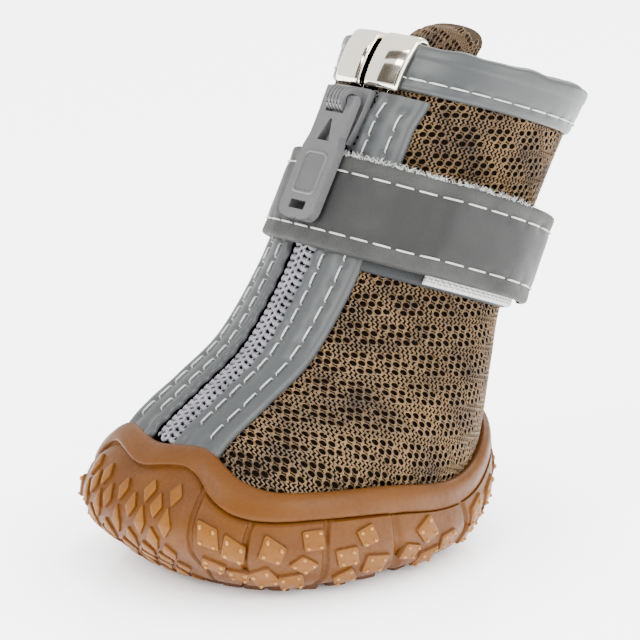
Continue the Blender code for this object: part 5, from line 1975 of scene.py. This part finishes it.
@dataclass
class WrapStrap:
    """The wrap strap, the strap sewn under it, and their loop and hook tapes."""

    last: FootLast
    level: float = 7.20
    gap: float = 0.0003
    width: float = 0.019
    thickness: float = 0.0012
    turns: tuple = (-150.0, 148.0)
    # Width, thickness and drop
    base: tuple = (0.018, 0.0009, 0.0024)
    base_turns: tuple = (32.0, 230.0)
    # Width, thickness, first and last degree, of the loop tape and of the hook tape
    loop: tuple = (0.0173, 0.0007, 66.0, 152.0)
    hook: tuple = (0.0165, 0.0007, 98.0, 145.0)
    rows: tuple = (0.18, 0.82)
    stitch: tuple = (0.0037, 0.0041)
    thread: float = 0.00020
    dip: float = 0.00036
    raised_middle: float = 0.00013
    middle_half: float = 0.31
    corner_round: float = 0.0032
    fray: tuple = (420, 0.0004, 0.0013, 0.00006)
    fray_turns: tuple = (-10.0, 100.0)
    # Degrees, then whether placket, strap base and tapes lie under the strap
    over: tuple = (
        (-180, 0, 1, 0), (-124, 0, 1, 0), (-112, 0, 0, 0), (-60, 0, 0, 0), (-42, 1, 0, 0), (28, 1, 0, 0),
        (44, 0.2, 1, 0), (56, 0.1, 1, 0.1), (66, 0, 1, 0.9), (74, 0, 1, 1), (180, 0, 1, 1))
    placket_rise: float = 0.0015

    def lift(self, degrees: Array) -> Array:
        """Return the lift of the strap's inner face over what lies under it.

        Args:
            degrees: Angles around the foot, in degrees.

        Returns:
            The lifts over the last.
        """
        placket, base, tapes = np.moveaxis(curve_through(self.over, degrees, level_ends=True), -1, 0)
        lift = self.gap * 2 + placket * self.placket_rise + base * (self.base[1] + self.gap)
        return lift + tapes * (self.loop[1] + self.hook[1] + 2 * self.gap)

    def distances(self) -> tuple[Array, Array]:
        """Return angles in degrees round the strap's middle line with the distances along it.

        Returns:
            The angles and the distances.
        """
        degrees = np.linspace(-180.0, 250.0, 1200)
        points = self.last.point(self.level, np.radians(degrees))
        legs = np.linalg.norm(np.diff(points, axis=0), axis=1)
        return degrees, np.concatenate([[0.0], np.cumsum(legs)])

    def placer(self, width: float, drop: float, lift: float | None) -> Place:
        """Return a place function for a band.

        Args:
            width: Width of the band.
            drop: How far its middle lies below the strap's.
            lift: Height of its inner face, or nothing to follow what lies below.

        Returns:
            Points by distance along, distance across and height.
        """
        degrees, walked = self.distances()

        def place(along: Array, across: Array, rise: Array) -> Array:
            """Return points of the band.

            Args:
                along: Distances along the band.
                across: Distances across it.
                rise: Heights over its inner face.

            Returns:
                The points.
            """
            turn = np.interp(along, walked, degrees)
            base = self.lift(turn) if lift is None else lift
            return self.last.band(self.level, np.radians(turn), across - width / 2 - drop, base + rise)

        return place

    def span(self, start: float, end: float, count: int) -> Array:
        """Return evenly spaced distances between two angles in degrees."""
        degrees, walked = self.distances()
        return np.linspace(np.interp(start, degrees, walked), np.interp(end, degrees, walked), count)

    def relief(self, along: Array, across: Array) -> Array:
        """Return the strap's hems: a raised middle, a step beside each stitch row and its dips.

        Args:
            along: Distances along the piece.
            across: Distances across the piece.

        Returns:
            Changes of height.
        """
        length, pitch = self.stitch
        share = across / self.width
        middle = self.raised_middle * smooth_step(np.abs(share - 0.5), 0.345, 0.30)
        for row in self.rows:
            middle = middle + stitch_dips(along, across, row * self.width, 0.0, pitch, length, self.dip)
        return middle + 0.00005 * np.sin(along * 900.0) * (np.abs(share - 0.5) > 0.33)

    def build(self, skins: dict) -> None:
        """Build the strap, its edges, stitches and frayed threads, then the pieces under it.

        Args:
            skins: Materials by name.
        """
        work = MeshWork()
        place = self.placer(self.width, 0.0, None)
        along = self.span(*self.turns, 900)
        end = along[-1]

        def rounded(run: Array, across: Array, rise: Array) -> Array:
            """Return points of the strap with the corners of its free end cut round.

            Args:
                run: Distances along the strap.
                across: Distances across the piece.
                rise: Heights over the band's inner face.

            Returns:
                The points.
            """
            near = np.minimum(across, self.width - across)
            share = np.minimum(near / self.corner_round, 1.0)
            cut = self.corner_round * (1.0 - np.sqrt(1.0 - (1.0 - share) ** 2))
            pull = smooth_step(run, end - 0.008, end)
            return place(run - cut * pull, across, rise)

        shape = StripShape(self.width, self.thickness, 0.0007)
        shape.lay(work, rounded, along, self.relief)
        made = work.make("strap_cloth", [skins["grainy_band"], skins["reflective_band"]])
        self._mark_middle(made, along, shape)
        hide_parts("strap")
        thread = MeshWork()
        length, pitch = self.stitch
        for row in self.rows:
            starts = np.arange(math.ceil((along[0] + 0.002) / pitch) * pitch, end - 0.006, pitch)
            paths = stitch_paths(place, starts, length, row * self.width, self.thickness + 0.00008)
            thread.tubes(paths, self.thread * STITCH_TAPER)
        made = thread.make("strap_stitches", [skins["white_thread"]])
        self._build_fray(skins, place, along)
        self._build_under(skins)

    def _mark_middle(self, made: bpy.types.Object, along: Array, shape: StripShape) -> None:
        """Give the strap's middle band its smoother finish.

        Args:
            made: The strap's object.
            along: Its stations.
            shape: Its section.
        """
        across = shape.section()[0]
        middle = (across[:-1] + across[1:]) / 2 / self.width
        inside = (np.abs(middle - 0.5) < self.middle_half).astype(int)
        made.data.polygons.foreach_set("material_index", np.tile(inside, len(along) - 1))

    def _build_fray(self, skins: dict, place: Place, along: Array) -> None:
        """Build the short white threads that fray out of the strap's upper edge.

        Args:
            skins: Materials by name.
            place: Gives points of the strap.
            along: Its stations; not used.
        """
        draw = np.random.default_rng(7)
        count, shortest, longest, radius = self.fray
        begin, end = self.span(*self.fray_turns, 2)
        start = begin + (end - begin) * draw.random(count) ** 1.25
        share = np.linspace(0.0, 1.0, 6)
        slant = draw.normal(0.0, 0.0009, (count, 1)) * share ** 1.5
        length = draw.uniform(shortest, longest, (count, 1))
        across = self.width - 0.0005 + length * share
        rise = self.thickness * draw.uniform(0.3, 1.0, (count, 1)) + 0.0003 * share
        paths = place(start[:, None] + slant, across, np.broadcast_to(rise, across.shape))
        thread = MeshWork()
        thread.tubes(paths, radius * np.array([1, 1, 0.9, 0.8, 0.6, 0.3]), sides=4)
        made = thread.make("strap_fray", [skins["white_thread"]])

    def _build_under(self, skins: dict) -> None:
        """Build the strap base, the loop tape and the hook tape.

        Args:
            skins: Materials by name.
        """
        width, thickness, drop = self.base
        loop_lift = 2 * self.gap + thickness
        hook_lift = loop_lift + self.loop[1] + self.gap
        for name, finish, slot, sizes, lift, turns in (
            ("strap_base", "base_cloth", "grey_cloth", (width, thickness, drop), self.gap, self.base_turns),
            ("loop_tape", "loop_pile", "loop_white", (*self.loop[:2], drop), loop_lift, self.loop[2:]),
            ("hook_tape", "hook_pile", "hook_grey", (*self.hook[:2], 0.0), hook_lift, self.hook[2:]),
        ):
            work = MeshWork()
            shape = StripShape(sizes[0], sizes[1], 0.0004)
            shape.lay(work, self.placer(sizes[0], sizes[2], lift), self.span(*turns, 260))
            made = work.make(f"{name}_cloth", [skins[finish]])
            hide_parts(name)


@dataclass
class Insole:
    """The soft insole on the cup's floor."""

    last: FootLast
    inset: float = 0.0024
    floor: float = 0.0053
    thickness: float = 0.0025
    section: tuple = (
        (0.0, 0.0), (0.6, 0.0), (1.0, 0.0), (1.0, 0.6), (0.985, 0.88), (0.955, 1.0), (0.6, 1.0), (0.3, 1.0),
        (0.0, 1.0))

    def build(self, skins: dict) -> None:
        """Build the insole with a rolled edge.

        Args:
            skins: Materials by name.
        """
        angles = np.linspace(0.0, 2 * math.pi, 160, endpoint=False)
        edge = self.last.skin(0.0, angles, -self.inset) * (1.0, 1.0, 0.0)
        middle = edge.mean(axis=0)
        rings = []
        for share, height in self.section:
            ring = middle + (edge - middle) * share
            ring[:, 2] = self.floor + height * self.thickness
            rings.append(ring)
        work = MeshWork()
        grid = np.stack(rings)
        work.surface(grid, grid[..., :2], round_columns=True)
        made = work.make("insole_cloth", [skins["foam_cloth"]])
        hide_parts("insole")


@dataclass(frozen=True)
class SoftLight:
    """One rectangular lamp that looks at the boot."""

    name: str
    place: tuple
    size: float
    power: float
    aim: tuple = (0.0, 0.01, 0.05)

    def build(self) -> None:
        """Put the lamp in the scene."""
        lamp = bpy.data.lights.new(self.name, "AREA")
        lamp.energy = self.power
        lamp.size = self.size
        made = bpy.data.objects.new(self.name, lamp)
        made.location = self.place
        made.rotation_euler = (Vector(self.aim) - Vector(self.place)).to_track_quat("-Z", "Y").to_euler()
        bpy.context.scene.collection.objects.link(made)


@dataclass
class Studio:
    """The pale room of the photo: floor, soft light, dark cards for the metal, and the camera."""

    azimuth: float = 50.0
    elevation: float = 14.0
    shift_right: float = 0.00684
    shift_up: float = 0.0445
    distance: float = 0.5
    lens: float = 142.1
    air: float = 1.9
    floor_glow: float = 3.8
    # Reach of the painted contact shadow that ambient occlusion cuts into the floor's glow
    shade_reach: float = 0.035
    cards: tuple = (
        ((-0.10, -0.84, 0.42), 0.58, 0.32),
        ((-0.06, -0.66, 0.78), 0.72, 0.08),
        ((0.66, -0.75, 0.10), 0.36, 0.62),
    )
    lights: tuple = (
        SoftLight("key", (0.10, -0.75, 0.75), 0.50, 9.0),
        SoftLight("fill", (0.85, 0.10, 0.50), 0.60, 8.0),
        SoftLight("back", (-0.30, 0.75, 0.70), 0.50, 5.0),
    )

    def build(self) -> None:
        """Build the room, its lamps and the camera."""
        self._build_floor()
        for light in self.lights:
            light.build()
        world = bpy.data.worlds.new("room_air")
        world.use_nodes = True
        back = world.node_tree.nodes["Background"]
        back.inputs["Color"].default_value = (1.0, 1.0, 1.0, 1.0)
        back.inputs["Strength"].default_value = self.air
        bpy.context.scene.world = world
        self._build_camera()

    def _build_floor(self) -> None:
        """Build the glowing floor, whose glow ambient occlusion darkens into a painted contact shadow under
        the boot, and the dark cards beside the boot.
        """
        paint = bpy.data.materials.new("room_paint")
        paint.use_nodes = True
        shader = paint.node_tree.nodes["Principled BSDF"]
        work = NodeWork(paint.node_tree)
        coordinates = work.node("ShaderNodeTexCoord")
        cloud = work.node("ShaderNodeTexNoise", {"Vector": coordinates.outputs["Object"], "Scale": 3.0})
        tone = work.mix(cloud.outputs["Fac"], (0.86, 0.86, 0.86, 1.0), (0.89, 0.89, 0.89, 1.0))
        paint.node_tree.links.new(tone, shader.inputs["Base Color"])
        shader.inputs["Roughness"].default_value = 0.14
        shader.inputs["Specular IOR Level"].default_value = 0.5
        # Painted contact shadow: ambient occlusion darkens the floor's glow near the boot.
        painted_contact_shadow = work.node("ShaderNodeAmbientOcclusion", {"Distance": self.shade_reach})
        paint.node_tree.links.new(painted_contact_shadow.outputs["Color"], shader.inputs["Emission Color"])
        shader.inputs["Emission Strength"].default_value = self.floor_glow
        floor = self._plate("floor", [(-4, -4, 0), (4, -4, 0), (4, 4, 0), (-4, 4, 0)], paint)
        felt = bpy.data.materials.new("card_felt")
        felt.use_nodes = True
        cover = felt.node_tree.nodes["Principled BSDF"]
        work = NodeWork(felt.node_tree)
        place = work.node("ShaderNodeTexCoord")
        fibre = work.node("ShaderNodeTexNoise", {"Vector": place.outputs["Object"], "Scale": 300.0})
        dark = work.mix(fibre.outputs["Fac"], (0.010, 0.008, 0.006, 1.0), (0.022, 0.017, 0.012, 1.0))
        felt.node_tree.links.new(dark, cover.inputs["Base Color"])
        cover.inputs["Roughness"].default_value = 0.9
        cards = [self._card(f"card_{number}", felt, *card) for number, card in enumerate(self.cards)]

    def _card(self, name: str, felt: bpy.types.Material, way: tuple, wide: float,
              tall: float) -> bpy.types.Object:
        """Make a dark card that only mirrors see, in a direction from the clips.

        Args:
            name: Name of the object.
            felt: Its material.
            way: Direction from the clips.
            wide: Width.
            tall: Height.

        Returns:
            The card.
        """
        ahead = Vector(way).normalized()
        across = ahead.cross(Vector((0.0, 0.0, 1.0))).normalized() * wide / 2
        up = across.cross(ahead).normalized() * tall / 2
        centre = Vector((0.0, 0.01, 0.09)) + ahead * 0.6
        corners = [centre - across - up, centre + across - up, centre + across + up, centre - across + up]
        card = self._plate(name, corners, felt)
        card.visible_camera = False
        card.visible_diffuse = False
        card.visible_shadow = False
        return card

    def _plate(self, name: str, corners: list, material: bpy.types.Material) -> bpy.types.Object:
        """Make a flat four-cornered plate.

        Args:
            name: Name of the object.
            corners: Its four corners.
            material: Its material.

        Returns:
            The object.
        """
        mesh = bpy.data.meshes.new(name)
        mesh.from_pydata(corners, [], [(0, 1, 2, 3)])
        mesh.materials.append(material)
        made = bpy.data.objects.new(name, mesh)
        bpy.context.scene.collection.objects.link(made)
        return made

    def _build_camera(self) -> None:
        """Place the camera at the photo's angle."""
        turn, tilt = math.radians(self.azimuth), math.radians(self.elevation)
        back = Vector((math.sin(turn) * math.cos(tilt), -math.cos(turn) * math.cos(tilt), math.sin(tilt)))
        right = Vector((math.cos(turn), math.sin(turn), 0.0))
        up = back.cross(right)
        lens = bpy.data.cameras.new("camera")
        lens.lens = self.lens
        lens.sensor_width = 36.0
        camera = bpy.data.objects.new("camera", lens)
        camera.location = right * self.shift_right + up * self.shift_up + back * self.distance
        camera.rotation_euler = (-back).to_track_quat("-Z", "Y").to_euler()
        bpy.context.scene.collection.objects.link(camera)
        bpy.context.scene.camera = camera


def main() -> None:
    """Build every sub-assembly of the boot, then the room around it."""
    logging.basicConfig(level=logging.INFO, format="%(name)s %(message)s")
    groups = {"grain": grain_group(), "weave": weave_group(), "dust": dust_group()}
    skins = {finish.name: finish.material(groups) for finish in FINISHES}
    last = FootLast()
    sole = CupSole(last)
    throat = Throat(last, sole)
    knit = Knit()
    pieces = (sole, Insole(last), MeshUpper(last, sole, throat, knit), Tongue(last, knit),
              Placket(last, sole, throat, Side.LEFT), Placket(last, sole, throat, Side.RIGHT),
              ZipFastener(last, throat), SliderAndPull(), CollarEdge(last), WrapStrap(last))
    for piece in pieces:
        piece.build(skins)
        LOG.info("%s built", type(piece).__name__)
    Studio().build()


if __name__ == "__main__":
    main()
